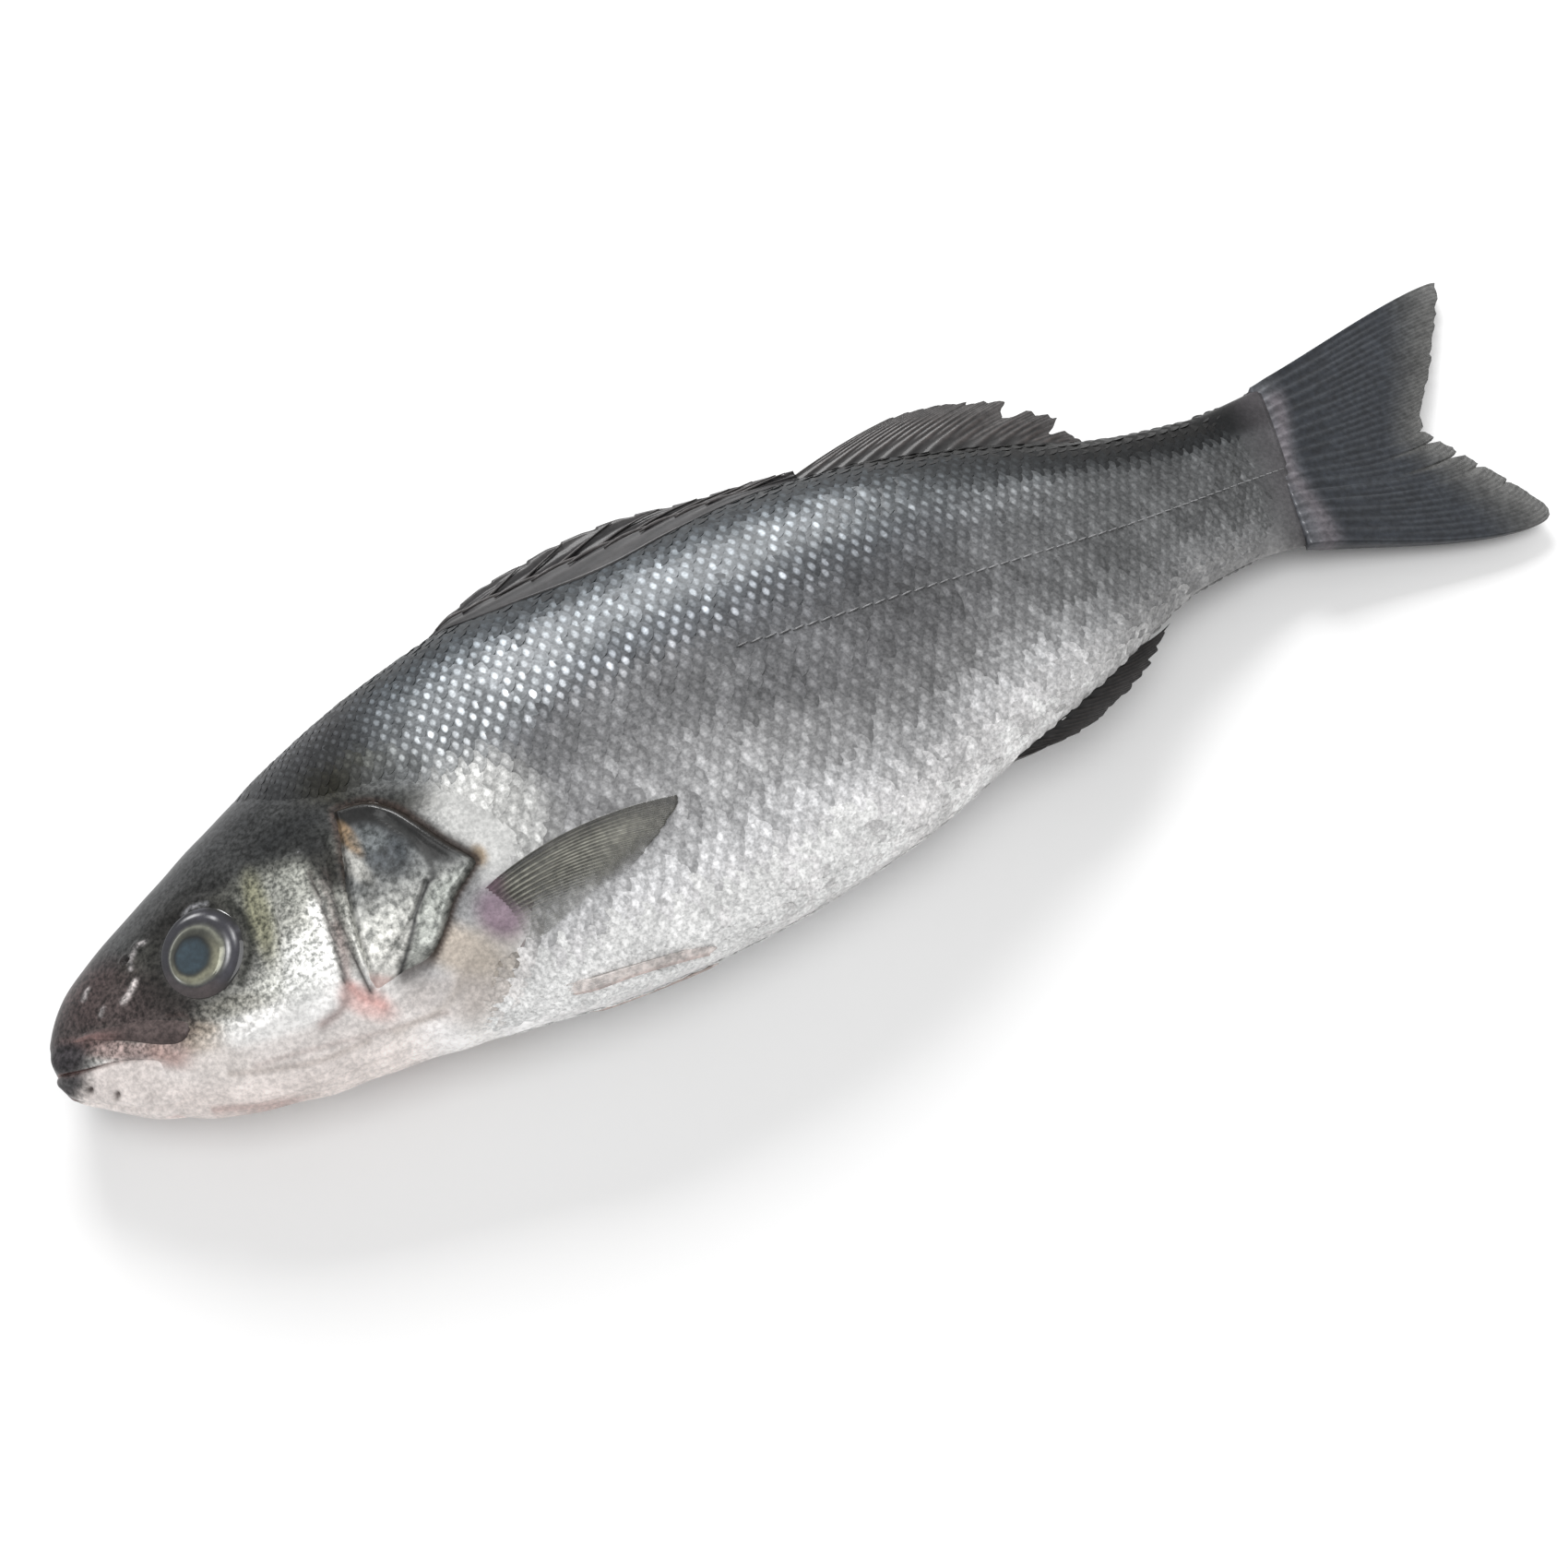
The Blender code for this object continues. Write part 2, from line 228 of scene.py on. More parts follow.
def finishMesh(name, points, faces, look, slot, uv=None, replaces=(), **attributes):
    # a visible piece from points in millimetres; further arguments become attributes of its points
    points = np.array(points, float).reshape(-1, 3)
    points[:, 2] = np.maximum(points[:, 2], floorGap)
    mesh = bpy.data.meshes.new(name)
    mesh.from_pydata((points * mm + snout).tolist(), [], faces)
    for key, values in attributes.items():
        values = np.asarray(values, float)
        colour = values.shape[-1] == 4
        layer = mesh.attributes.new(key, "FLOAT_COLOR" if colour else "FLOAT", "POINT")
        layer.data.foreach_set("color" if colour else "value", values.ravel())
    if uv is not None:
        addUv(mesh, uv)
    turnOutwards(mesh)
    mesh.materials.append(look)
    piece = addObject(name, mesh)
    hand(piece, replaces)
    return piece


def hand(piece, replaces=()):
    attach(piece, "root")
    if replaces:
        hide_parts(*replaces)


def rimOf(rows, columns):
    rim = [(0, c) for c in range(columns)] + [(r, columns - 1) for r in range(1, rows)]
    rim += [(rows - 1, c) for c in range(columns - 2, -1, -1)]
    return rim + [(r, 0) for r in range(rows - 2, 0, -1)]


def bandFaces(rings, sides, start=0):
    # quads between rings of points that follow each other
    return [[a + i, a + (i + 1) % sides, a + sides + (i + 1) % sides, a + sides + i]
            for a in range(start, start + (rings - 1) * sides, sides) for i in range(sides)]


def sheetFaces(rows, columns):
    # two layers of a grid, joined round the rim into one closed sheet
    def at(layer, row, column):
        return layer * rows * columns + row * columns + column

    faces = []
    for row in range(rows - 1):
        for column in range(columns - 1):
            cell = ((row, column), (row + 1, column), (row + 1, column + 1), (row, column + 1))
            faces.append([at(0, *corner) for corner in cell])
            faces.append([at(1, *corner) for corner in reversed(cell)])
    rim = rimOf(rows, columns)
    for here, there in zip(rim, rim[1:] + rim[:1]):
        faces.append([at(0, *here), at(0, *there), at(1, *there), at(1, *here)])
    return faces


def sheetPiece(name, outer, inner, look, slot, uv=None, replaces=(), **attributes):
    # a closed sheet between two grids of points, which share their colours
    rows, columns = outer.shape[:2]
    twice = {key: np.concatenate([value.reshape(rows * columns, *value.shape[2:])] * 2)
             for key, value in attributes.items()}
    both = np.concatenate([outer.reshape(-1, 3), inner.reshape(-1, 3)])
    if uv is not None:
        uv = np.concatenate([uv.reshape(-1, 2)] * 2)
    return finishMesh(name, both, sheetFaces(rows, columns), look, slot, uv, replaces, **twice)


def mixColour(base, colour, amount):
    return base + (np.array(colour) - base) * np.asarray(amount)[..., None]


def layered(base, layers):
    for colour, amount in layers:
        base = mixColour(base, colour, amount)
    return base


def flatTone(shape, colour):
    return np.zeros((*shape, 4)) + np.array(colour)


def toneRamp(stops, place):
    # colour (and shine) between stops given as (place, r, g, b, shine)
    table = np.array(stops)
    return np.stack([np.interp(place, table[:, 0], table[:, i]) for i in range(1, 5)], -1)


def addStains(base, x, y, stains):
    for px, py, rx, ry, lean, colour, strength in stains:
        c, s = math.cos(math.radians(lean)), math.sin(math.radians(lean))
        dx, dy = (x - px) * c + (y - py) * s, (y - py) * c - (x - px) * s
        amount = strength * smoothStep(1.6 - np.sqrt((dx / rx) ** 2 + (dy / ry) ** 2))
        base = mixColour(base, colour, amount)
    return base


def addStrokes(base, x, y, strokes):
    for points, width, colour, strength in strokes:
        away = distanceTo(x, y, throughPoints(points, steps=5))
        base = mixColour(base, colour, strength * bump(away, width))
    return base


def softNoise(x, y, scale, seed):
    # a few crossed waves: cheap, smooth and the same on every run
    draw = np.random.default_rng(seed)
    total = np.zeros(np.shape(x))
    for _ in range(7):
        angle, phase, step = draw.uniform(0, 2 * math.pi), draw.uniform(0, 6.3), draw.uniform(0.6, 1.6)
        total += np.sin((x * math.cos(angle) + y * math.sin(angle)) * step / scale + phase)
    return total / 7 ** 0.5


def fill(tree, node, inputs):
    # inputs are given as values, or as the sockets that feed them
    for key, value in inputs.items():
        if isinstance(value, bpy.types.NodeSocket):
            tree.links.new(value, node.inputs[key])
        else:
            node.inputs[key].default_value = value


def addNode(tree, kind, inputs=None, **settings):
    node = tree.nodes.new(kind)
    for key, value in settings.items():
        setattr(node, key, value)
    fill(tree, node, inputs or {})
    return node


def stored(tree, name):
    return addNode(tree, "ShaderNodeAttribute", attribute_name=name).outputs


def makeLook(name, roughness, coat=0.0, coatRoughness=0.08, ior=1.4):
    look = bpy.data.materials.new(name)
    look.use_nodes = True
    shader = look.node_tree.nodes["Principled BSDF"]
    fill(look.node_tree, shader, {"Roughness": roughness, "Coat Weight": coat, "IOR": ior,
                                  "Coat Roughness": coatRoughness})
    return look, look.node_tree, shader


def fleckGroup():
    # mottled pigment: dark specks and bright flecks over a painted colour, with a height
    tree = bpy.data.node_groups.new("pigmentFlecks", "ShaderNodeTree")
    for label, kind, value in (("Colour", "NodeSocketColor", (0.5, 0.5, 0.5, 1)),
                               ("Fleck Size", "NodeSocketFloat", 900),
                               ("Amount", "NodeSocketFloat", 0.5)):
        tree.interface.new_socket(label, in_out="INPUT", socket_type=kind).default_value = value
    for label, kind in (("Colour", "NodeSocketColor"), ("Height", "NodeSocketFloat")):
        tree.interface.new_socket(label, in_out="OUTPUT", socket_type=kind)
    given = addNode(tree, "NodeGroupInput").outputs
    place = addNode(tree, "ShaderNodeTexCoord").outputs["Object"]
    fine = addNode(tree, "ShaderNodeTexNoise", {
        "Vector": place, "Scale": given["Fleck Size"], "Detail": 3.0, "Roughness": 0.6}).outputs["Fac"]
    broad = addNode(tree, "ShaderNodeTexNoise", {"Vector": place, "Scale": 160.0, "Detail": 2.0})
    contrast = addNode(tree, "ShaderNodeMapRange", {"Value": fine, "From Min": 0.36, "From Max": 0.66})
    speck = addNode(tree, "ShaderNodeMix", {
        0: contrast.outputs["Result"], 6: (0.3, 0.31, 0.3, 1), 7: (1.75, 1.75, 1.72, 1)}, data_type="RGBA")
    times = addNode(tree, "ShaderNodeMix", {0: given["Amount"], 6: given["Colour"], 7: speck.outputs[2]},
                    data_type="RGBA", blend_type="MULTIPLY")
    cloud = addNode(tree, "ShaderNodeMapRange", {
        "Value": broad.outputs["Fac"], "From Min": 0.3, "From Max": 0.7, "To Min": 0.85, "To Max": 1.15})
    shade = addNode(tree, "ShaderNodeVectorMath", {0: times.outputs[2], "Scale": cloud.outputs["Result"]},
                    operation="SCALE")
    addNode(tree, "NodeGroupOutput", {"Colour": shade.outputs[0], "Height": fine})
    return tree


flecks = fleckGroup()


def flecked(tree, size, amount, colour):
    return addNode(tree, "ShaderNodeGroup", {"Fleck Size": size, "Amount": amount, "Colour": colour},
                   node_tree=flecks).outputs


def paintedLook(name, roughness, coat, fleckSize, relief, **extra):
    # skin painted by the piece's own colour attribute, broken up by pigment flecks
    look, tree, shader = makeLook(name, roughness, coat=coat, **extra)
    paint = stored(tree, "paint")
    mottle = flecked(tree, fleckSize, stored(tree, "fleck")["Fac"], paint["Color"])
    lump = addNode(tree, "ShaderNodeBump", {"Strength": relief, "Distance": 0.0003,
            "Height": mottle["Height"]})
    fill(tree, shader, {"Base Color": mottle["Colour"], "Metallic": paint["Alpha"],
                        "Normal": lump.outputs["Normal"]})
    return look, tree, shader


skinLook, jawLook = [paintedLook(name, 0.42, 0.16, 1100.0, 0.3, ior=1.28)[0]
                     for name in ("wetSkin", "jawSkin")]
coverLook = paintedLook("gillCoverSkin", 0.34, 0.32, 700.0, 0.5, ior=1.33)[0]

headRear = 96     # the head's relief, stains and strokes end here
headShape = {
    "eyeCentre": (35.0, 1.0), "eyeRadius": 8.6,
    "mouthLine": [(-0.5, -1.2), (2.7, -3.3), (6.9, -5.1), (11.9, -7), (16.5, -9.4), (22, -12.8),
                  (27, -15.6), (33, -19.2), (38, -23.4), (43, -31)],
    "lipLine": [(0.4, 0.4), (2.6, -1.7), (7, -3.6), (12, -5.5), (17, -8.2), (22, -11.4), (25.5, -13.4)],
    "preopercle": [(60.4, 8), (59, 3), (57.6, -6), (55.6, -13.4), (53.6, -18), (51.2, -19.9), (47.6, -20),
                   (42, -18.4), (35, -16.8)],
    "preopercleFront": [(54, 9), (51, 2), (49, -5), (46.5, -11), (42, -15), (36, -16.6)],
    "coverGroove": [(63.4, 7), (61.4, 1), (60.2, -6), (59.4, -12.4), (58.8, -18.4), (58, -22)],
    "coverFront": [(67.6, 12.2), (66.8, 8), (65, 1.9), (62.7, -5.3), (61.3, -11.3), (60.4, -17.3),
                   (59, -21.6), (55.4, -25.6)],
    "coverRear": [(68.4, 12.4), (73.4, 11), (77.6, 7.4), (80.8, 2), (83.4, -3.2), (86, -7.6), (86.8, -10),
                  (83.8, -12), (80.4, -14), (77, -17.4), (72.6, -21.2), (66.6, -25.2), (60.6, -27.4),
                  (55.8, -26.6)],
    "nostrils": [(21.6, 8.2, 0.9), (24.6, 9.2, 0.6)],
    "wetRidges": [((18.2, 1.2), (21.6, 3.2)), ((21.8, 6), (23.4, 8.4)), ((24.6, 9.4), (26.4, 8.8)),
                  ((11.4, 6.6), (12.6, 7.8)), ((13.4, 1.6), (14.4, 2.4))],
}
lines = {key: throughPoints(value) for key, value in headShape.items() if isinstance(value, list)
         and key not in ("nostrils", "wetRidges")}
coverLoop = np.vstack([lines["coverFront"], lines["coverRear"][::-1], lines["coverFront"][:1]])
jawTop = smoothCurve(headShape["mouthLine"])


def headRelief(x, y, turn):
    # lift of the head's bare skin in millimetres, from its bones, folds and openings
    lift = np.zeros(np.shape(x))
    ex, ey = headShape["eyeCentre"]
    away = np.hypot(x - ex, y - ey) - headShape["eyeRadius"]
    lift -= 1.4 * rise(0.4 - away, 3.2)
    lift += 0.15 * bump(away - 1.8, 1.5)
    lift -= 0.35 * bump(away - 3.2, 1.0) * rise(x - ex + 4, 8)
    brow = distanceTo(x, y, throughPoints([(24.0, 9.6), (30.0, 11.6), (38.0, 12.6), (46.0, 12.2)]))
    lift += 0.35 * bump(brow, 3.0)
    lip = distanceTo(x, y, lines["lipLine"])
    lipFade = rise(22 - x, 8)
    lift += 0.6 * lipFade * bump(lip, 1.4)
    lift -= 0.25 * lipFade * bump(lip - 2.3, 0.5)
    plate = distanceTo(x, y, lines["preopercle"])
    ahead = rise(plate + 6 - distanceTo(x, y, lines["preopercleFront"]), 6)
    edge = np.where(insideDepth(x, y, preopercleLoop) > 0, 1, -1) * plate
    lift += 0.85 * rise(edge + 0.5, 1.0) * (0.3 + 0.7 * ahead)
    lift -= 0.8 * bump(distanceTo(x, y, lines["coverGroove"]), 0.75)
    lift -= 0.3 * bump(distanceTo(x, y, lines["preopercleFront"]), 0.8)
    cover = insideDepth(x, y, coverLoop)
    lift -= 1.4 * rise(cover + 0.2, 0.8) * rise(y + 24.5, 4)
    lift -= 0.6 * bump(cover + 0.5, 0.6) * rise(x - 62, 6) * rise(y + 22, 4)
    lift += 0.9 * bump(np.hypot((x - 86.5) / 4.0, (y + 21.0) / 5.0), 1)     # fleshy root of the side fin
    for nx, ny, size in headShape["nostrils"]:
        hole = np.hypot((x - nx), (y - ny) * 1.3)
        lift -= 1.3 * rise(size - hole, 0.5)
        lift += 0.35 * bump(hole - size - 0.35, 0.3)
    below = rise(jawTop(x) - y, 0.9) * rise(27 - x, 10) * rise(x, 3)
    lift -= 0.9 * below
    under = np.abs(turn - math.pi) * widthLine(x)     # distance from the belly's middle line
    lift += 1.0 * bump(x - 18, 9) * rise(7 - under, 7)
    folds = np.zeros(np.shape(x))
    for middle, depth in ((1.4, 0.5), (4.2, 0.45), (6.8, 0.4), (9.2, 0.35)):
        folds += depth * bump(under - middle * (0.55 + 0.45 * rise(x - 30, 25)), 0.55)
    lift -= folds * rise(x - 28, 8) * rise(70 - x, 12)
    for ends in headShape["wetRidges"]:
        lift += 0.28 * bump(distanceTo(x, y, np.array(ends)), 0.5)
    lift += 0.1 * softNoise(x, y, 2.6, 3) * rise(80 - x, 10)
    return lift


scaleSettings = {
    "pitch": 3.1, "rowShare": 0.79,     # spacing along the body, and between rows as a share of it
    "start": 37.0, "end": 286.0, "last": 277,     # first and last rows laid out, and the last one kept
    "hidden": 3, "bareRidge": 2.7, "bareKeel": 2.0,     # gaps behind the head, at the ridge, at the keel
    "tilt": 0.06, "tiltJitter": 0.03, "sizeJitter": 0.05,
    "length": 0.86, "height": 0.92, "dome": 0.06, "rim": 0.05,
    "lateralLine": [(66, 15), (80, 13.4), (97.7, 11.4), (112, 9.6), (130, 7.5), (149, 5.4), (164, 3.4),
                    (188, 1.4), (213, -0.2), (239, -1.2), (279, -0.6)],
    "frontEdge": [(-42, 66), (-36, 69), (-30, 73), (-24, 78), (-18, 83), (-13, 87), (-9, 88.6), (-3, 86.5),
                  (3, 83), (8, 79.6), (12, 74), (15, 66), (20, 54), (26, 46), (34, 40), (44, 38)],
    "taper": [(34, 0.5), (50, 0.56), (66, 0.68), (90, 0.9), (120, 1), (175, 0.98), (225, 0.86), (262, 0.72),
              (286, 0.5)],
}
lateralLine = smoothCurve(scaleSettings["lateralLine"])
# the line along the upper flank where the scales' painted highlight band runs
paintedGleamLine = smoothCurve([(60, 22), (80, 17), (95, 15), (112, 14.2), (130, 14.2), (155, 15), (180, 15.5),
                         (205, 15), (240, 10)])
frontEdge = smoothCurve(scaleSettings["frontEdge"])
taper = smoothCurve(scaleSettings["taper"])

preopercleLoop = np.vstack([lines["preopercle"], lines["preopercleFront"][::-1], lines["preopercle"][:1]])

trunkTones = [          # share of the height from belly (-1) to back (1), then colour and shine
    (-1, 0.84, 0.83, 0.83, 0.02), (-0.84, 0.82, 0.81, 0.82, 0.08), (-0.7, 0.46, 0.46, 0.47, 0.22),
    (-0.5, 0.21, 0.21, 0.215, 0.36), (-0.25, 0.122, 0.122, 0.127, 0.42), (0, 0.108, 0.109, 0.114, 0.45),
    # the lighter step from 0.5 to 0.66 is a painted highlight on the upper back
    (0.16, 0.085, 0.087, 0.093, 0.45), (0.34, 0.056, 0.06, 0.066, 0.45), (0.5, 0.074, 0.08, 0.086, 0.42),
    (0.66, 0.072, 0.079, 0.086, 0.4), (0.8, 0.022, 0.026, 0.03, 0.22), (0.9, 0.009, 0.011, 0.013, 0.08),
    (1, 0.007, 0.009, 0.011, 0.05)]
headTones = [
    (-1, 0.84, 0.76, 0.73, 0.02), (-0.7, 0.82, 0.77, 0.75, 0.05), (-0.55, 0.88, 0.87, 0.86, 0.15),
    (-0.38, 0.64, 0.64, 0.61, 0.35), (-0.1, 0.4, 0.4, 0.375, 0.45), (0.18, 0.32, 0.325, 0.3, 0.45),
    (0.3, 0.17, 0.172, 0.155, 0.35), (0.42, 0.038, 0.039, 0.039, 0.15), (1, 0.022, 0.023, 0.026, 0.08)]
darker = smoothCurve([(0, 1.35), (120, 1.35), (150, 1.12), (200, 1.02), (225, 0.8), (255, 0.6),
                      (290, 0.48)])
fishStains = [          # x, y, half length, half height, lean, colour and shine, strength
    (91, -2, 9, 12.5, 20, (0.54, 0.54, 0.53, 0.2), 0.9),
    (74.5, 12.8, 11.5, 4.6, -38, (0.016, 0.015, 0.009, 0.05), 0.95),
    (80, 16.4, 7, 2, -35, (0.055, 0.054, 0.034, 0.2), 0.6),
    (77, -22.5, 3.6, 8, 42, (0.56, 0.48, 0.4, 0.05), 0.8),
    (80.5, -27, 10, 4.5, 38, (0.46, 0.41, 0.36, 0.02), 0.6),
    (110.6, -39.6, 0.35, 0.3, 0, (0.02, 0.015, 0.015, 0), 0.95),
    (86.6, -20.2, 3.6, 4.2, 20, (0.24, 0.165, 0.22, 0.05), 0.85),
    (72, -28.5, 8, 3.5, -25, (0.5, 0.44, 0.41, 0.02), 0.6),
    # painted highlight: a lighter patch on the upper flank behind the head, where the highlight band runs
    # lower and wider
    (98, 17.5, 20, 8, 10, (0.19, 0.2, 0.21, 0.42), 0.75),
    (125, 2, 20, 8, 0, (0.19, 0.19, 0.195, 0.4), 0.5),
    (128, -12, 26, 7, -8, (0.42, 0.42, 0.425, 0.4), 0.35)]
headStains = [
    (5, 6.5, 13, 9, 50, (0.036, 0.031, 0.032, 0.08), 0.96),
    (16, 3, 12, 6.5, -35, (0.056, 0.04, 0.04, 0.1), 0.94),
    (23, -3.5, 8.5, 5.4, -35, (0.07, 0.053, 0.053, 0.12), 0.92),
    (12, -4.6, 10, 1.5, -38, (0.17, 0.105, 0.1, 0.05), 0.8),
    (18, -10, 9, 2, -36, (0.46, 0.35, 0.335, 0.05), 0.6),
    (22.5, -11.5, 4.5, 2.4, -45, (0.42, 0.27, 0.24, 0.05), 0.65),
    (3.6, -1, 5, 2.8, -35, (0.034, 0.03, 0.034, 0.05), 0.97),
    (29, -13, 4, 2.6, -35, (0.34, 0.24, 0.16, 0.2), 0.6),
    (34, 1.6, 11.4, 10.6, 0, (0.016, 0.015, 0.014, 0.1), 0.94),
    (47.4, 1, 2.2, 7.5, -10, (0.2, 0.195, 0.11, 0.35), 0.6),
    (37, -11.4, 6, 1.8, -20, (0.14, 0.13, 0.1, 0.3), 0.5),
    (42, -17.2, 9.5, 2.2, -13, (0.93, 0.92, 0.91, 0.1), 0.95),
    (50.5, -12.5, 3.8, 6, -20, (0.86, 0.86, 0.85, 0.2), 0.8),
    (30, -18.6, 6, 2.2, -30, (0.84, 0.78, 0.75, 0.05), 0.8),
    (57.6, -21.8, 5, 2.2, -48, (0.66, 0.36, 0.33, 0.02), 0.6),
    (62.5, 3.5, 2.8, 7, 15, (0.018, 0.017, 0.015, 0.08), 0.93),
    (60, 11, 9.5, 4.6, -10, (0.018, 0.019, 0.02, 0.1), 0.88),
    (87.6, -9.2, 1.4, 1.8, 0, (0.3, 0.21, 0.12, 0.1), 0.75)]
headStrokes = [         # points, width, colour and shine, strength
    # the first six strokes are painted highlights: pale wet glints on the snout and above the eye, over
    # small raised ridges
    ([(18.2, 1.2), (20, 2), (21.6, 3.4)], 0.5, (0.72, 0.66, 0.66, 0.1), 0.85),
    ([(21.8, 6), (22.4, 7.4), (23.6, 8.4)], 0.35, (0.6, 0.56, 0.57, 0.1), 0.75),
    ([(24.4, 9.2), (26.4, 9)], 0.35, (0.5, 0.47, 0.48, 0.1), 0.7),
    ([(11.4, 6.4), (12.8, 7.9)], 0.35, (0.6, 0.56, 0.57, 0.1), 0.7),
    ([(13.2, 1.4), (14.2, 2.4)], 0.3, (0.6, 0.56, 0.57, 0.1), 0.7),
    ([(35, 9.7), (37, 9.9), (39.6, 9)], 0.35, (0.42, 0.42, 0.45, 0.2), 0.6),
    # painted shadow: a dark line in the groove outside the preopercle's corner
    ([(58.9, -8), (57.8, -14), (56, -18.4), (53.4, -21), (49, -21.6)], 1, (0.3, 0.22, 0.21, 0.05), 0.75),
    # painted highlight: the preopercle's rounded edge painted near white
    ([(57.4, -3), (55.6, -11.8), (53.6, -17), (50.8, -19), (46.5, -19)], 1.25, (0.97, 0.96, 0.95, 0.1), 1),
    ([(59, 3.5), (58.1, -5.9), (57.1, -12.2), (55.9, -17.4)], 0.55, (0.04, 0.032, 0.03, 0.1), 0.9),
    ([(61.6, 2.5), (60.4, -4), (59.6, -10.4), (59.2, -17.4), (59.2, -21)], 0.6, (0.036, 0.03, 0.028, 0.1),
     0.9),
    ([(60.2, 1), (59, -8), (58, -15)], 0.5, (0.2, 0.17, 0.165, 0.2), 0.6),
    ([(56.8, -18.6), (57.6, -21.4), (60.4, -24)], 0.9, (0.62, 0.3, 0.27, 0.02), 0.5),
    ([(24, -23), (34.2, -27.4), (47.4, -31.9), (56.4, -33)], 0.45, (0.36, 0.2, 0.18, 0), 0.5),
    ([(30, -20.5), (38, -23.9), (46, -26.5), (55, -27.7)], 0.6, (0.44, 0.38, 0.35, 0), 0.55),
    ([(34.9, -21.7), (45.4, -24.3), (57.1, -27.3), (70, -30)], 0.5, (0.46, 0.38, 0.36, 0), 0.45),
    ([(60, -28.6), (70, -29), (78, -25)], 0.8, (0.42, 0.37, 0.33, 0), 0.45),
    # painted shade: a dark crescent along the rear rim of the eye's socket
    ([(43.6, 6.5), (44.9, 1.5), (43.4, -4.2), (39.4, -8.2)], 1, (0.02, 0.021, 0.018, 0.1), 0.9),
    ([(24.6, -6), (27.4, -7.6), (28.2, -10), (26.6, -11.6)], 0.5, (0.05, 0.036, 0.034, 0.1), 0.7)]


def fishTone(x, y):
    level = levelOf(x, y)
    tone = toneRamp(trunkTones, level)
    flat = rise(x - 180, 60) * rise(0.62 - level, 0.3) * rise(level + 1.1, 0.25)
    tone = mixColour(tone, (0.205, 0.21, 0.215, 0.4), 0.7 * flat)
    head = toneRamp(headTones, level + 0.004 * (x - 42))
    share = rise(80 - x + 8 * level, 14)
    rearTop = rise(x - 175, 45) * rise(level - 0.42, 0.2)
    tone[..., :3] *= (darker(x) * (1 - 0.74 * rearTop))[..., None]
    tone = mixColour(tone, (0.1, 0.092, 0.1, 0.2), 0.55 * rise(x - 268, 10))
    tone = tone + (head - tone) * share[..., None]
    return addStains(tone, x, y, fishStains)


def bodySkin():
    near = np.concatenate([[0, 0.05, 0.15, 0.35, 0.6, 0.9, 1.2], np.arange(1.6, 94, 0.56)])
    x = np.concatenate([near, np.linspace(94.2, fishShape["length"], 96)])
    sides = 300
    turn = np.arange(sides) * 2 * math.pi / sides
    xs, turns = np.meshgrid(x, turn, indexing="ij")
    point, out, _ = skinFrame(xs, turns)
    y = plainSkin(xs, turns)[..., 1]
    lift = np.zeros(xs.shape)
    front = x < headRear
    headX, headY = xs[front], y[front]
    lift[front] = headRelief(headX, headY, turns[front])
    lift[x < 1.0] *= 0.3
    ridgeArc = np.minimum(turns, 2 * math.pi - turns) * widthLine(xs)
    keelArc = np.abs(turns - math.pi) * widthLine(xs)
    keel = np.exp(-(keelArc / 2.2) ** 4)
    bare = 0.9 * np.exp(-(ridgeArc / 2.9) ** 4) + 0.95 * keel
    lift -= 0.4 * rise(xs - frontEdge(y) + 1.5, 12) * (1 - bare)
    point = point + out * lift[..., None]
    tone = fishTone(xs, y)
    tone[..., :3] *= (1 - 0.3 * keel * rise(xs - 72, 20))[..., None]
    skin = addStrokes(addStains(tone[front], headX, headY, headStains), headX, headY, headStrokes)
    cover = insideDepth(headX, headY, coverLoop)
    # painted shade: dark in the gill opening under the cover and along the mouth under the lower jaw
    gillGapShade = rise(cover + 1.3, 1.0) * rise(headX - 62, 4) * rise(headY + 26, 6)
    mouth = rise(jawTop(headX) - headY + 0.1, 0.5) * rise(17 - headX, 9)
    skin = layered(skin, [
        ((0.05, 0.035, 0.03, 0.05), 0.9 * gillGapShade),
        ((0.1, 0.05, 0.045, 0.05), 0.9 * mouth)])
    tone[front] = skin
    level = levelOf(xs, y)
    fleck = 0.25 + 0.65 * rise(level + 0.62, 0.3) * rise(90 - xs, 20)
    count = len(x)
    faces = bandFaces(count, sides)
    flat = point.reshape(-1, 3)
    ends = np.stack([point[0].mean(0), point[-1].mean(0)])
    last = (count - 1) * sides
    for i in range(sides):
        after = (i + 1) % sides
        faces.append([len(flat), after, i])
        faces.append([len(flat) + 1, last + i, last + after])
    points = np.concatenate([flat, ends])
    paint = np.concatenate([tone.reshape(-1, 4), tone[0, :1], tone[-1, :1]])
    speck = np.concatenate([fleck.ravel(), [0.2, 0.2]])
    return finishMesh("bodySkin", points, faces, skinLook, "skin", replaces=("body",), paint=paint,
                      fleck=speck)


print("stage: body skin", len(bodySkin().data.polygons))


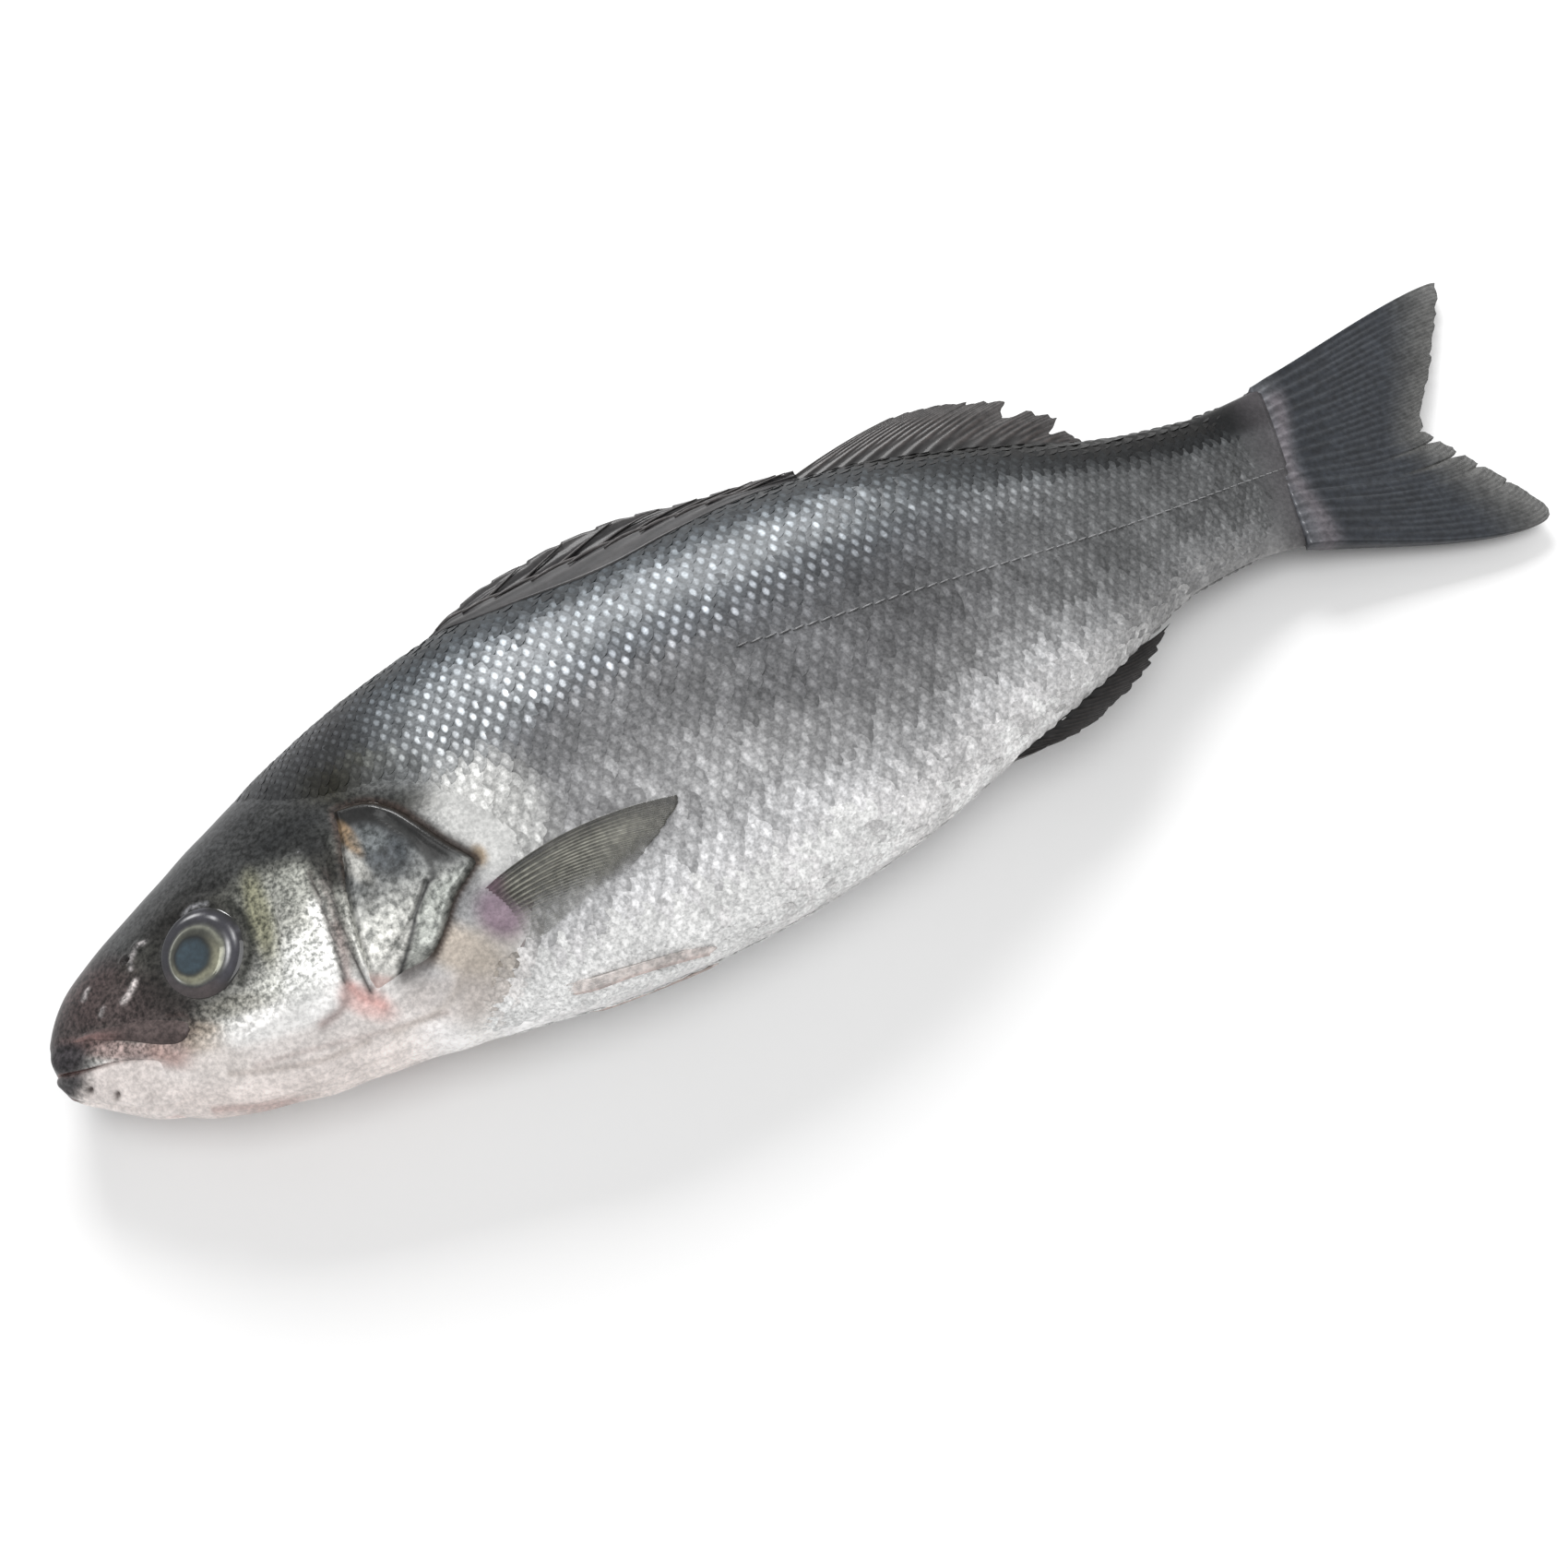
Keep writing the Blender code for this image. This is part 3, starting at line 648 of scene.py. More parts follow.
def lowerJaw():
    # a shell under the mouth line, from one corner of the mouth round the chin to the other
    rows, columns = 90, 121
    x = 43.0 * np.linspace(0, 1, rows) ** 1.25
    top = np.arccos(np.clip((jawTop(x) - 0.25 - section(x)[0]) / section(x)[1], -0.9995, 0.9))
    across = np.linspace(-1, 1, columns)
    spread = (math.pi - top)[:, None]
    turn = math.pi + across[None, :] * spread
    xs = np.repeat(x[:, None], columns, 1)
    point, out, _ = skinFrame(xs, turn)
    y = plainSkin(xs, turn)[..., 1]
    arc = np.abs(across)[None, :] * spread * widthLine(xs)
    edge = (1 - np.abs(across))[None, :] * spread * section(xs)[1]
    front = rise(20 - xs, 14)
    lift = -(0.15 + 0.5 * front) * bump(edge, 0.5) + 0.3 * front * bump(edge - 1.6, 1.2)
    ridge = 2.4 + 0.16 * xs
    lift += 1.0 * bump(xs - 18, 9) * rise(7 - arc, 7)
    lift += 0.35 * bump(arc - ridge, 0.9) - 0.45 * bump(arc - ridge + 1.9, 0.6)
    lift -= 0.5 * bump(arc, 0.6) * rise(xs - 12, 6)
    lift -= 1.5 * rise(xs - 13, 11)
    pits = ((5.2, -8.4), (9.5, -12.0), (15.0, -16.0), (21.0, -19.6))
    for px, py in pits:
        lift -= 0.7 * np.exp(-((xs - px) ** 2 + (y - py) ** 2) / 0.3)
    lift += 0.07 * softNoise(xs, y, 2.0, 11)
    outer = point + out * lift[..., None]
    inner = point + out * (np.minimum(lift, 0) - 1.0)[..., None] * smoothStep(xs / 2 + 0.3)[..., None]
    tone = flatTone(xs.shape, (0.83, 0.76, 0.735, 0.03))
    dark = rise(9.5 - xs - 0.35 * np.abs(y + 4), 5) * rise(y + 10, 4)
    tone = layered(tone, [
        ((0.034, 0.032, 0.036, 0.05), 0.97 * dark),
        ((0.26, 0.18, 0.17, 0.1), 0.6 * bump(edge, 0.7) * front),
        ((0.88, 0.87, 0.87, 0.1), 0.7 * rise(xs - 16, 8) * bump(edge - 4, 2.5)),
        ((0.55, 0.3, 0.28, 0.05), 0.6 * bump(arc, 0.9) * rise(xs - 14, 6))])
    # painted shade: the first two pits are dark inside
    for px, py in pits[:2]:
        tone = mixColour(tone, (0.05, 0.035, 0.03, 0), np.exp(-((xs - px) ** 2 + (y - py) ** 2) / 0.5))
    fleck = 0.25 + 0.6 * dark
    return sheetPiece("lowerJaw", outer, inner, jawLook, "jaw_skin", replaces=("lower_jaw",), paint=tone,
                      fleck=fleck)


lowerJaw()
print("stage: lower jaw")

coverTones = [          # down the gill cover, from its top to its lower point
    (0, 0.04, 0.04, 0.038, 0.2), (0.22, 0.085, 0.09, 0.096, 0.45), (0.42, 0.15, 0.155, 0.155, 0.5),
    (0.58, 0.48, 0.48, 0.46, 0.4), (0.78, 0.74, 0.73, 0.7, 0.3), (0.88, 0.8, 0.74, 0.7, 0.1),
    (1, 0.8, 0.7, 0.66, 0.02)]


def gillCover(side, word):
    rows, columns = 120, 90
    down, across = np.linspace(0, 1, rows), np.linspace(0, 1, columns)
    front, rear = alongLine(headShape["coverFront"], down), alongLine(headShape["coverRear"], down)
    xy = front[:, None] + (rear - front)[:, None] * across[None, :, None]
    x, y = xy[..., 0], xy[..., 1]
    inside = np.maximum(insideDepth(x, y, coverLoop), 0)
    boneEdge = throughPoints([(75.0, 6.4), (78.4, -1.6), (79.2, -7.8), (77.0, -9.6), (73.5, -12.4),
                              (70.9, -15.6), (68.0, -18.6), (64.0, -22.0)])
    lowerLine = throughPoints([(60.4, -20.0), (66.0, -17.0), (72.0, -13.6), (77.0, -9.0)])
    behind = (x - np.interp(y, boneEdge[::-1, 1], boneEdge[::-1, 0])) / 1.2
    lift = 0.4 - 1.1 * bump(inside, 0.75) - 2.4 * rise(-19.0 - y, 3.5)
    lift -= 0.3 * smoothStep(behind)
    lift -= 0.25 * bump(distanceTo(x, y, boneEdge), 0.8)
    lift -= 0.25 * bump(distanceTo(x, y, lowerLine), 0.5)
    lift += 0.15 * bump(inside - 1.6, 0.9)
    lift += 0.08 * softNoise(x, y, 1.6, 5)
    turn = turnAt(x, y, side)
    point, out, _ = skinFrame(x, turn)
    outer = point + out * lift[..., None]
    inner = point + out * (lift - 0.25 - 0.9 * rise(inside, 1.2))[..., None]
    tone = toneRamp(coverTones, np.repeat(down[:, None], columns, 1))
    rearDistance = distanceTo(x, y, lines["coverRear"])
    upper = rise(y + 10, 5)
    band = rise(5.4 - rearDistance, 1.8) * upper
    tone = mixColour(tone, (0.012, 0.012, 0.012, 0.1), 0.96 * band)
    strip = smoothStep(behind) * rise(-y - 8, 4)
    tone = mixColour(tone, (0.3, 0.32, 0.3, 0.35), 0.7 * strip)
    for line, width, strength in ((boneEdge, 0.6, 0.95), (lowerLine, 0.45, 0.35)):
        tone = mixColour(tone, (0.035, 0.036, 0.036, 0.1),
                         strength * bump(distanceTo(x, y, line), width) * rise(26 + y, 5))
    rim = bump(rearDistance, 0.7) * rise(y + 26, 6)
    tone = mixColour(tone, (0.045, 0.036, 0.03, 0.1), 0.9 * rim)
    golden = [(68.0, 5.6, 1.3, 3.8, 12, (0.3, 0.205, 0.12, 0.25), 0.75),
              (66.4, 1, 1.6, 5, 20, (0.5, 0.49, 0.46, 0.4), 0.5),
              (73.4, -1.4, 3.8, 3.2, -40, (0.035, 0.042, 0.05, 0.35), 0.75),
              (71.4, 3.2, 3, 2, -40, (0.22, 0.24, 0.25, 0.4), 0.5),
              (61.5, -21, 3.6, 1.6, -40, (0.62, 0.36, 0.33, 0.02), 0.5)]
    tone = addStains(tone, x, y, golden)
    fleck = 0.85 * rise(0.88 - down, 0.2)[:, None] * np.ones(x.shape) * (1 - 0.6 * band)
    return sheetPiece(f"gillCover_{word}", outer, inner, coverLook, "gill_cover_skin",
                      replaces=(f"gill_cover_{word}",), paint=tone, fleck=fleck)


def maxilla(side, word):
    # the thin bone at the corner of the mouth, round at its rear end
    rows, columns = 48, 24
    share, across = np.linspace(0, 1, rows), np.linspace(-1, 1, columns)
    spine = alongLine([(4.6, 1.6), (10.0, -0.2), (16.0, -3.2), (22.0, -6.8), (27.4, -10.2)], share)
    half = 0.8 + 2.8 * smoothStep(share * 1.2)
    half = half * np.sqrt(np.clip(1 - ((share - 0.86) / 0.14).clip(0, 1) ** 2, 0.02, 1))
    along = np.gradient(spine, axis=0)
    along /= np.linalg.norm(along, axis=1, keepdims=True)
    normal = np.stack([-along[:, 1], along[:, 0]], -1)
    xy = spine[:, None] + normal[:, None] * (half[:, None] * across[None])[..., None]
    x, y = xy[..., 0], xy[..., 1]
    crown = 1 - np.abs(across)[None] ** 2.6
    endFade = rise(share, 0.25)[:, None] * rise(1.02 - share, 0.05)[:, None]
    lift = -0.25 + 0.85 * crown * endFade * (0.35 + 0.65 * smoothStep((0.6 - across)[None] / 1.2))
    outer = onSkin(x, y, side, lift)
    inner = onSkin(x, y, side, np.full(x.shape, -0.8))
    tone = flatTone(x.shape, (0.074, 0.055, 0.054, 0.1))
    tone = layered(tone, [
        ((0.098, 0.076, 0.074, 0.12), 0.8 * rise(share - 0.25, 0.5)[:, None] * crown),
        ((0.3, 0.18, 0.17, 0.05), 0.6 * rise(0.55 - share, 0.3)[:, None] * rise(0.2 - across, 0.8)[None]),
        ((0.07, 0.055, 0.05, 0.1), 0.4 * rise(np.abs(across) - 0.72, 0.25)[None] * np.ones(x.shape))])
    return sheetPiece(f"maxilla_{word}", outer, inner, jawLook, "jaw_skin", paint=tone,
                      fleck=np.full(x.shape, 0.5))


eyeRings = [        # radius in millimetres, then colour
    (0, 0.024, 0.044, 0.06), (2.4, 0.026, 0.048, 0.064), (3.2, 0.014, 0.026, 0.034),
    (3.7, 0.008, 0.01, 0.011), (4.2, 0.06, 0.062, 0.05), (4.8, 0.095, 0.098, 0.082),
    (5.3, 0.21, 0.215, 0.175), (5.7, 0.075, 0.076, 0.07), (6.1, 0.028, 0.028, 0.033),
    (7, 0.044, 0.043, 0.055), (7.7, 0.024, 0.023, 0.03), (8.2, 0.01, 0.01, 0.01),
    (8.6, 0.008, 0.008, 0.008)]
paintedEyeGlints = [       # painted highlights on the eye: from the centre, bearing, width, length and strength
    (7.4, 75, 0.22, 1.6, 0.8), (7, 38, 0.2, 1, 0.5), (6.2, -30, 0.28, 2.2, 0.75),
    (7.3, -8, 0.2, 1.4, 0.5), (5.4, 200, 0.2, 1, 0.5)]


def eyeLook():
    look, tree, shader = makeLook("wetEye", 0.12, coat=1.0, coatRoughness=0.02, ior=1.38)
    paint = stored(tree, "paint")
    mottle = flecked(tree, 900.0, 0.28, paint["Color"])
    fill(tree, shader, {"Base Color": mottle["Colour"], "Metallic": paint["Alpha"]})
    return look


wetEye = eyeLook()


def eye(side, word):
    # one closed lens: domed pupil and iris in front, a rounded back behind
    ex, ey = headShape["eyeCentre"]
    centre, out, rear = skinFrame(np.array(ex), turnAt(np.array(ex), np.array(ey), side))
    up = np.cross(out, rear) * side
    up /= np.linalg.norm(up)
    radius, around = headShape["eyeRadius"], 72
    rings = np.concatenate([np.linspace(0.25, radius, 40), np.linspace(radius * 0.97, 0.6, 8)])
    front = np.arange(len(rings)) < 40
    share = rings / radius
    dome = 1.0 * np.sqrt(np.clip(1 - share ** 2, 0, 1)) + 0.55 * np.sqrt(np.clip(1 - (rings / 5.6) ** 2, 0,
            1))
    height = np.where(front, dome - 0.75, -0.75 - 2.2 * np.sqrt(np.clip(1 - share ** 2, 0, 1)))
    angle = np.arange(around) * 2 * math.pi / around
    wave = 0.1 * np.sin(3 * angle + 0.6) + 0.06 * np.sin(7 * angle)
    shift = (1 - share) * -2.7 * front        # the iris sits a little towards the snout
    spots = (centre + out * height[:, None, None]
             + rear * (rings[:, None] * np.cos(angle) + shift[:, None])[..., None]
             + up * (rings[:, None] * np.sin(angle))[..., None])
    table = np.array(eyeRings)
    reach = rings[:, None] + wave * bump(rings[:, None] - 4.6, 1.6)
    tone = np.stack([np.interp(reach, table[:, 0], table[:, i]) for i in (1, 2, 3)], -1)
    gold = bump(reach - 4.5, 0.7) * smoothStep(-np.sin(angle) * 0.8 + 0.5)
    tone = mixColour(tone, (0.5, 0.49, 0.35), 0.55 * gold)
    ring = rise(reach - 5.9, 0.5)
    turned = np.broadcast_to(angle, reach.shape)
    streak = softNoise(reach * 1.2, turned * 4.0, 1.6, 7)
    lowFront = rise(np.cos(turned - math.radians(222)) - 0.35, 0.5)
    topFront = rise(np.cos(turned - math.radians(125)) - 0.3, 0.6)
    rearSide = rise(np.cos(turned - math.radians(10)) - 0.2, 0.7)
    tone = layered(tone, [
        ((0.06, 0.046, 0.046), 0.85 * ring * lowFront),
        ((0.014, 0.014, 0.02), 0.8 * ring * topFront),
        ((0.13, 0.13, 0.155), 0.8 * ring * rearSide * smoothStep(streak)),
        ((0.022, 0.022, 0.028), 0.6 * ring * smoothStep(-streak - 0.2))])
    # white painted highlights, stretched round the eye's rings
    for distance, at, wide, long, strength in paintedEyeGlints:
        off = (turned - math.radians(at) + math.pi) % (2 * math.pi) - math.pi
        spot = np.exp(-((reach - distance) / wide) ** 2 - (off * distance / long) ** 2)
        tone = mixColour(tone, (0.86, 0.86, 0.88), strength * spot)
    shine = 0.75 * bump(reach - 4.6, 0.9)
    paint = np.concatenate([tone, shine[..., None]], -1)
    faces = []
    count = len(rings)
    for ring in range(count - 1):
        a, b = ring * around, (ring + 1) * around
        faces += [[a + i, b + i, b + (i + 1) % around, a + (i + 1) % around] for i in range(around)]
    flat = spots.reshape(-1, 3)
    tips = np.stack([spots[0].mean(0), spots[-1].mean(0)])
    faces += [[len(flat), i, (i + 1) % around] for i in range(around)]
    faces += [[len(flat) + 1, (count - 1) * around + (i + 1) % around,
               (count - 1) * around + i] for i in range(around)]
    paints = np.concatenate([paint.reshape(-1, 4), paint[0, :1], paint[-1, :1]])
    return finishMesh(f"eyeball_{word}", np.concatenate([flat, tips]), faces, wetEye, "eye",
                      replaces=(f"eye_{word}",), paint=paints)


for side, word in flanks:
    gillCover(side, word)
    maxilla(side, word)
    eye(side, word)
print("stage: gill covers, jaw bones and eyes")


def scaleShape(name, settings, segments=4):
    # one domed scale in units of the pitch, its rear edge at +X, closed underneath
    u, v = np.meshgrid(np.linspace(-1, 1, segments + 1), np.linspace(-1, 1, segments + 1), indexing="ij")
    x = u * (1 - 0.3 * v * v) * settings["length"]
    y = v * (1 - 0.3 * u * u) * settings["height"]
    z = settings["dome"] * (1 - ((x - 0.22) / 0.78) ** 2 - 0.42 * (y / settings["height"]) ** 2)
    top = np.stack([x, y, z], -1).reshape(-1, 3)
    size = segments + 1
    rim = [r * size + c for r, c in rimOf(size, size)]
    under = top[rim] - np.array([0, 0, settings["rim"]])
    faces = [[r * size + c, (r + 1) * size + c, (r + 1) * size + c + 1, r * size + c + 1]
             for r in range(segments) for c in range(segments)]
    for i, here in enumerate(rim):
        after = (i + 1) % len(rim)
        faces.append([here, rim[after], size * size + after, size * size + i])
    faces.append([size * size + i for i in range(len(rim))])
    flatUv = np.stack([(u + 1) / 2, (v + 1) / 2], -1).reshape(-1, 2)
    shape = formObject(name, np.vstack([top, under]).tolist(), faces, np.vstack([flatUv, flatUv[rim]]))
    crisp = shape.data.attributes.new("sharp_edge", "BOOLEAN", "EDGE")
    for edge in shape.data.edges:
        a, b = edge.vertices
        crisp.data[edge.index].value = a in rim and b in rim
    return shape


def formObject(name, points, faces, uvs):
    mesh = bpy.data.meshes.new(name)
    mesh.from_pydata(points, [], faces)
    addUv(mesh, uvs)
    turnOutwards(mesh)
    return addObject(name, mesh)


def scatterTree():
    # instances of one shape on points that carry their own outward and rearward directions
    tree = bpy.data.node_groups.new("scatterOnSkin", "GeometryNodeTree")
    for label, kind in (("Geometry", "Geometry"), ("Shape", "Object"), ("Tilt", "Float"),
                        ("Tilt Jitter", "Float"), ("Size Jitter", "Float"), ("Seed", "Int"),
                        ("Look", "Material")):
        tree.interface.new_socket(label, in_out="INPUT", socket_type="NodeSocket" + kind)
    tree.interface.new_socket("Geometry", in_out="OUTPUT", socket_type="NodeSocketGeometry")
    given = addNode(tree, "NodeGroupInput").outputs

    def named(name, kind):
        return addNode(tree, "GeometryNodeInputNamedAttribute", {"Name": name},
                       data_type=kind).outputs["Attribute"]

    def maths(operation, *terms):
        return addNode(tree, "ShaderNodeMath", dict(enumerate(terms)), operation=operation).outputs[0]

    def draw(offset):
        node = addNode(tree, "FunctionNodeRandomValue", {
            "Min": -1.0, "Max": 1.0, "Seed": maths("ADD", given["Seed"], offset)}, data_type="FLOAT")
        return [socket for socket in node.outputs if socket.type == "VALUE"][0]

    shape = addNode(tree, "GeometryNodeObjectInfo", {"Object": given["Shape"]})
    stand = addNode(tree, "FunctionNodeAlignRotationToVector", {"Vector": named("outward", "FLOAT_VECTOR")},
                    axis="Z")
    face = addNode(tree, "FunctionNodeAlignRotationToVector", {
        "Rotation": stand.outputs["Rotation"], "Vector": named("rearward", "FLOAT_VECTOR")},
        axis="X", pivot_axis="Z")
    first, second = draw(0), draw(1)
    lean = maths("SUBTRACT", maths("MULTIPLY", first, given["Tilt Jitter"]), given["Tilt"])
    turn = addNode(tree, "ShaderNodeCombineXYZ", {
        "X": maths("MULTIPLY", second, given["Tilt Jitter"]), "Y": lean})
    rotate = addNode(tree, "FunctionNodeRotateRotation", {
        "Rotation": face.outputs["Rotation"], "Rotate By": turn.outputs["Vector"]}, rotation_space="LOCAL")
    vary = maths("MULTIPLY_ADD", second, given["Size Jitter"], 1.0)
    place = addNode(tree, "GeometryNodeInstanceOnPoints", {
        "Points": given["Geometry"], "Instance": shape.outputs["Geometry"],
        "Rotation": rotate.outputs["Rotation"], "Scale": maths("MULTIPLY", vary, named("size", "FLOAT"))})
    real = addNode(tree, "GeometryNodeRealizeInstances", {"Geometry": place.outputs["Instances"]})
    look = addNode(tree, "GeometryNodeSetMaterial", {
        "Geometry": real.outputs["Geometry"], "Material": given["Look"]})
    addNode(tree, "NodeGroupOutput", {"Geometry": look.outputs["Geometry"]})
    return tree


scatter = scatterTree()


def scatterPiece(name, place, shape, look, slot, seed, **given):
    # place holds arrays: point, outward, rearward, size, gleam (how bright the painted highlight in each
    # oval is) and tone; given names the tree's inputs
    mesh = bpy.data.meshes.new(name + "Points")
    mesh.from_pydata((place["point"] * mm + snout).tolist(), [], [])
    for key, kind, field in (("outward", "FLOAT_VECTOR", "vector"), ("rearward", "FLOAT_VECTOR", "vector"),
                             ("size", "FLOAT", "value"), ("gleam", "FLOAT", "value"),
                             ("tone", "FLOAT_COLOR", "color")):
        layer = mesh.attributes.new(key, kind, "POINT")
        values = place[key] * mm if key == "size" else place[key]
        layer.data.foreach_set(field, np.ascontiguousarray(values, dtype=np.float32).ravel())
    source = addObject(name + "Points", mesh)
    step = source.modifiers.new("scatter", "NODES")
    step.node_group = scatter
    given = {"shape": shape, "seed": seed, "look": look, **given}
    for socket in scatter.interface.items_tree:
        key = socket.name[0].lower() + socket.name[1:].replace(" ", "")
        if socket.in_out == "INPUT" and key in given:
            step[socket.identifier] = given[key]
    bpy.context.view_layer.update()
    ready = source.evaluated_get(bpy.context.evaluated_depsgraph_get())
    made = bpy.data.meshes.new_from_object(ready)
    bpy.data.objects.remove(source)
    made.name = name
    spots = np.zeros(len(made.vertices) * 3)
    made.vertices.foreach_get("co", spots)
    spots[2::3] = np.maximum(spots[2::3], floorGap * mm)
    made.vertices.foreach_set("co", spots)
    made.shade_smooth()
    for key in ("outward", "rearward", "size"):
        if key in made.attributes:
            made.attributes.remove(made.attributes[key])
    piece = addObject(name, made)
    hand(piece)
    return piece


def scaleGrid(side, keep):
    # quincunx rows at even steps round the body from the lateral line
    s = scaleSettings
    xs, turns, sizes = [], [], []
    x = s["start"]
    around = np.linspace(0, math.pi, 181)
    while x < s["end"]:
        step = s["pitch"] * taper(x)
        for odd in (0, 1):
            here = x + odd * step / 2
            ring = plainSkin(np.full(181, here), around)[:, 1:]
            arc = np.concatenate([[0], np.cumsum(np.linalg.norm(np.diff(ring, axis=0), axis=1))])
            middle = np.interp(turnAt(np.array(here), lateralLine(here), 1), around, arc)
            rows = np.arange(-60, 61)
            rows = rows[(rows % 2) == odd]
            spots = middle + rows * s["pitch"] * s["rowShare"] * taper(here)
            spots = spots[(spots > s["bareRidge"] * taper(here)) & (spots < arc[-1] - s["bareKeel"])]
            turns.append(np.interp(spots, arc, around))
            xs.append(np.full(len(spots), here))
            sizes.append(np.full(len(spots), step))
        x += step
    xs, turns, sizes = map(np.concatenate, (xs, turns, sizes))
    y = plainSkin(xs, turns)[..., 1]
    kept = keep(xs, y)
    xs, turns, sizes, y = xs[kept], turns[kept], sizes[kept], y[kept]
    point, out, rear = skinFrame(xs, turns if side > 0 else 2 * math.pi - turns)
    return {"x": xs, "y": y, "point": point, "outward": out, "rearward": rear, "size": sizes}


def scaleLook():
    # silver crystals over dark pigment: bright in an oval by a painted highlight, dark where scales meet
    look, tree, shader = makeLook("silverScale", 0.46, coat=0.12, coatRoughness=0.16, ior=1.26)
    tone = stored(tree, "tone")
    uv = addNode(tree, "ShaderNodeUVMap", uv_map="pieceUV")
    parts = addNode(tree, "ShaderNodeSeparateXYZ", {"Vector": uv.outputs["UV"]}).outputs

    def maths(operation, first, second):
        return addNode(tree, "ShaderNodeMath", {0: first, 1: second}, operation=operation).outputs[0]

    squares = []
    for socket, middle, half in (("X", 0.71, 0.115), ("Y", 0.5, 0.185)):
        share = maths("DIVIDE", maths("SUBTRACT", parts[socket], middle), half)
        squares.append(maths("MULTIPLY", share, share))
    edge = addNode(tree, "ShaderNodeMapRange", {
        "Value": maths("ADD", *squares), "From Min": 0.0, "From Max": 1.8,
        "To Min": stored(tree, "gleam")["Fac"], "To Max": 0.88}, interpolation_type="SMOOTHSTEP")
    mottle = flecked(tree, 1500.0, 0.35, tone["Color"])
    shade = addNode(tree, "ShaderNodeVectorMath", {0: mottle["Colour"], "Scale": edge.outputs["Result"]},
                    operation="SCALE")
    lump = addNode(tree, "ShaderNodeBump", {"Strength": 0.12, "Distance": 0.0002,
            "Height": mottle["Height"]})
    fill(tree, shader, {"Base Color": shade.outputs[0], "Metallic": tone["Alpha"],
                        "Normal": lump.outputs["Normal"]})
    return look


silverScale = scaleLook()
scaleForm = scaleShape("scaleForm", scaleSettings)


def trunkScales(side, word):
    s = scaleSettings

    def keep(x, y):
        return (x > frontEdge(y) + s["hidden"]) & (x < s["last"])

    grid = scaleGrid(side, keep)
    x, y = grid["x"], grid["y"]
    draw = np.random.default_rng(21 if side > 0 else 22)
    tone = fishTone(x, y)
    front = x < headRear
    tone[front] = addStains(tone[front], x[front], y[front], headStains)
    jitter = np.clip(draw.normal(1.0, 0.14, len(x)), 0.72, 1.5)
    patch = 1 + 0.12 * softNoise(x, y, 7.0, 8)
    tone[:, :3] *= (jitter * patch)[:, None]
    grid["tone"] = np.clip(tone, 0.008, 0.9)
    grid["point"] = grid["point"] + grid["rearward"] * draw.normal(0, 0.13, (len(jitter), 1))
    # painted highlights: each scale's bright oval is raised in a band along this line and above it, where
    # the window light's reflection falls
    above = y - paintedGleamLine(x)
    band = bump(above, 4.2) * rise(x - 76, 14)
    band *= rise(246 - x, 46) * (0.3 + 0.7 * rise(198 - x, 34))
    upper = bump(above - 12, 8.0) * rise(245 - x, 60)
    lively = np.clip(draw.normal(1.0, 0.45, len(jitter)), 0.1, 2.1)
    level = levelOf(x, y)
    grid["gleam"] = 1.12 + 0.2 * rise(level + 0.9, 0.4) + (2.55 * band + 1.15 * upper) * lively
    sink = 0.33 + 0.22 * smoothStep(1 - (x - frontEdge(y)) / 14)
    sink += 0.35 * rise(x - 260, 16)
    grid["point"] = grid["point"] - grid["outward"] * sink[:, None]
    return scatterPiece(f"scales_{word}", grid, scaleForm, silverScale, "skin", 5, tilt=s["tilt"],
                        tiltJitter=s["tiltJitter"], sizeJitter=s["sizeJitter"])


for side, word in flanks:
    piece = trunkScales(side, word)
    print("stage: scales", word, len(piece.data.polygons))
bpy.data.objects.remove(scaleForm)


tubeSettings = {"start": 150.0, "end": 276.0, "pitch": 2.9, "halfLength": 1.3, "radius": 0.2, "lift": 0.02}


def lateralTubes(side, word):
    # short raised tubes, one to a scale, from above the side fin to the tail
    s = tubeSettings
    x = [s["start"]]
    while x[-1] < s["end"]:
        x.append(x[-1] + s["pitch"] * float(taper(x[-1])))
    x = np.array(x)
    point, out, rear = skinFrame(x, turnAt(x, lateralLine(x), side))
    grey = 0.18 + 0.08 * rise(x - s["start"], 60)
    tone = np.stack([grey, grey, grey * 1.03, np.full(len(x), 0.3)], -1)
    # each bead gets a painted highlight down its middle
    place = {"point": point + out * s["lift"], "outward": out, "rearward": rear, "size": taper(x),
             "tone": tone, "gleam": np.full(len(x), 1.35)}
    form = tubeForm()
    piece = scatterPiece(f"lateralLine_{word}", place, form, silverScale, "skin", 9, tilt=0.03,
                         tiltJitter=0.03, sizeJitter=0.05)
    bpy.data.objects.remove(form)
    return piece


def tubeForm():
    # a low rounded bead, narrower at both ends
    rows, sides = 5, 6
    half = tubeSettings["halfLength"]
    points, uvs = [], []
    for i, along in enumerate(np.linspace(-half, half, rows)):
        radius = tubeSettings["radius"] * (1 - abs(along / half) ** 3 * 0.55)
        for j in range(sides):
            angle = math.pi * 2 * j / sides
            points.append((along, radius * math.cos(angle), radius * 0.8 * math.sin(angle)))
            uvs.append((i / (rows - 1), j / sides))
    faces = bandFaces(rows, sides) + [list(range(sides)), [(rows - 1) * sides + j for j in range(sides)]]
    return formObject("tubeForm", points, faces, uvs)


for side, word in flanks:
    lateralTubes(side, word)
print("stage: lateral line")


def finLook(name, roughness, coat):
    # the attribute called body is how solid the fin is: rays are solid, skin between them is sheer
    look, tree, shader = paintedLook(name, roughness, coat, 700.0, 0.2)
    fill(tree, shader, {"Alpha": stored(tree, "body")["Fac"]})
    return look


darkFin = finLook("dampFin", 0.46, 0.15)
clearFin = finLook("clearFin", 0.35, 0.35)


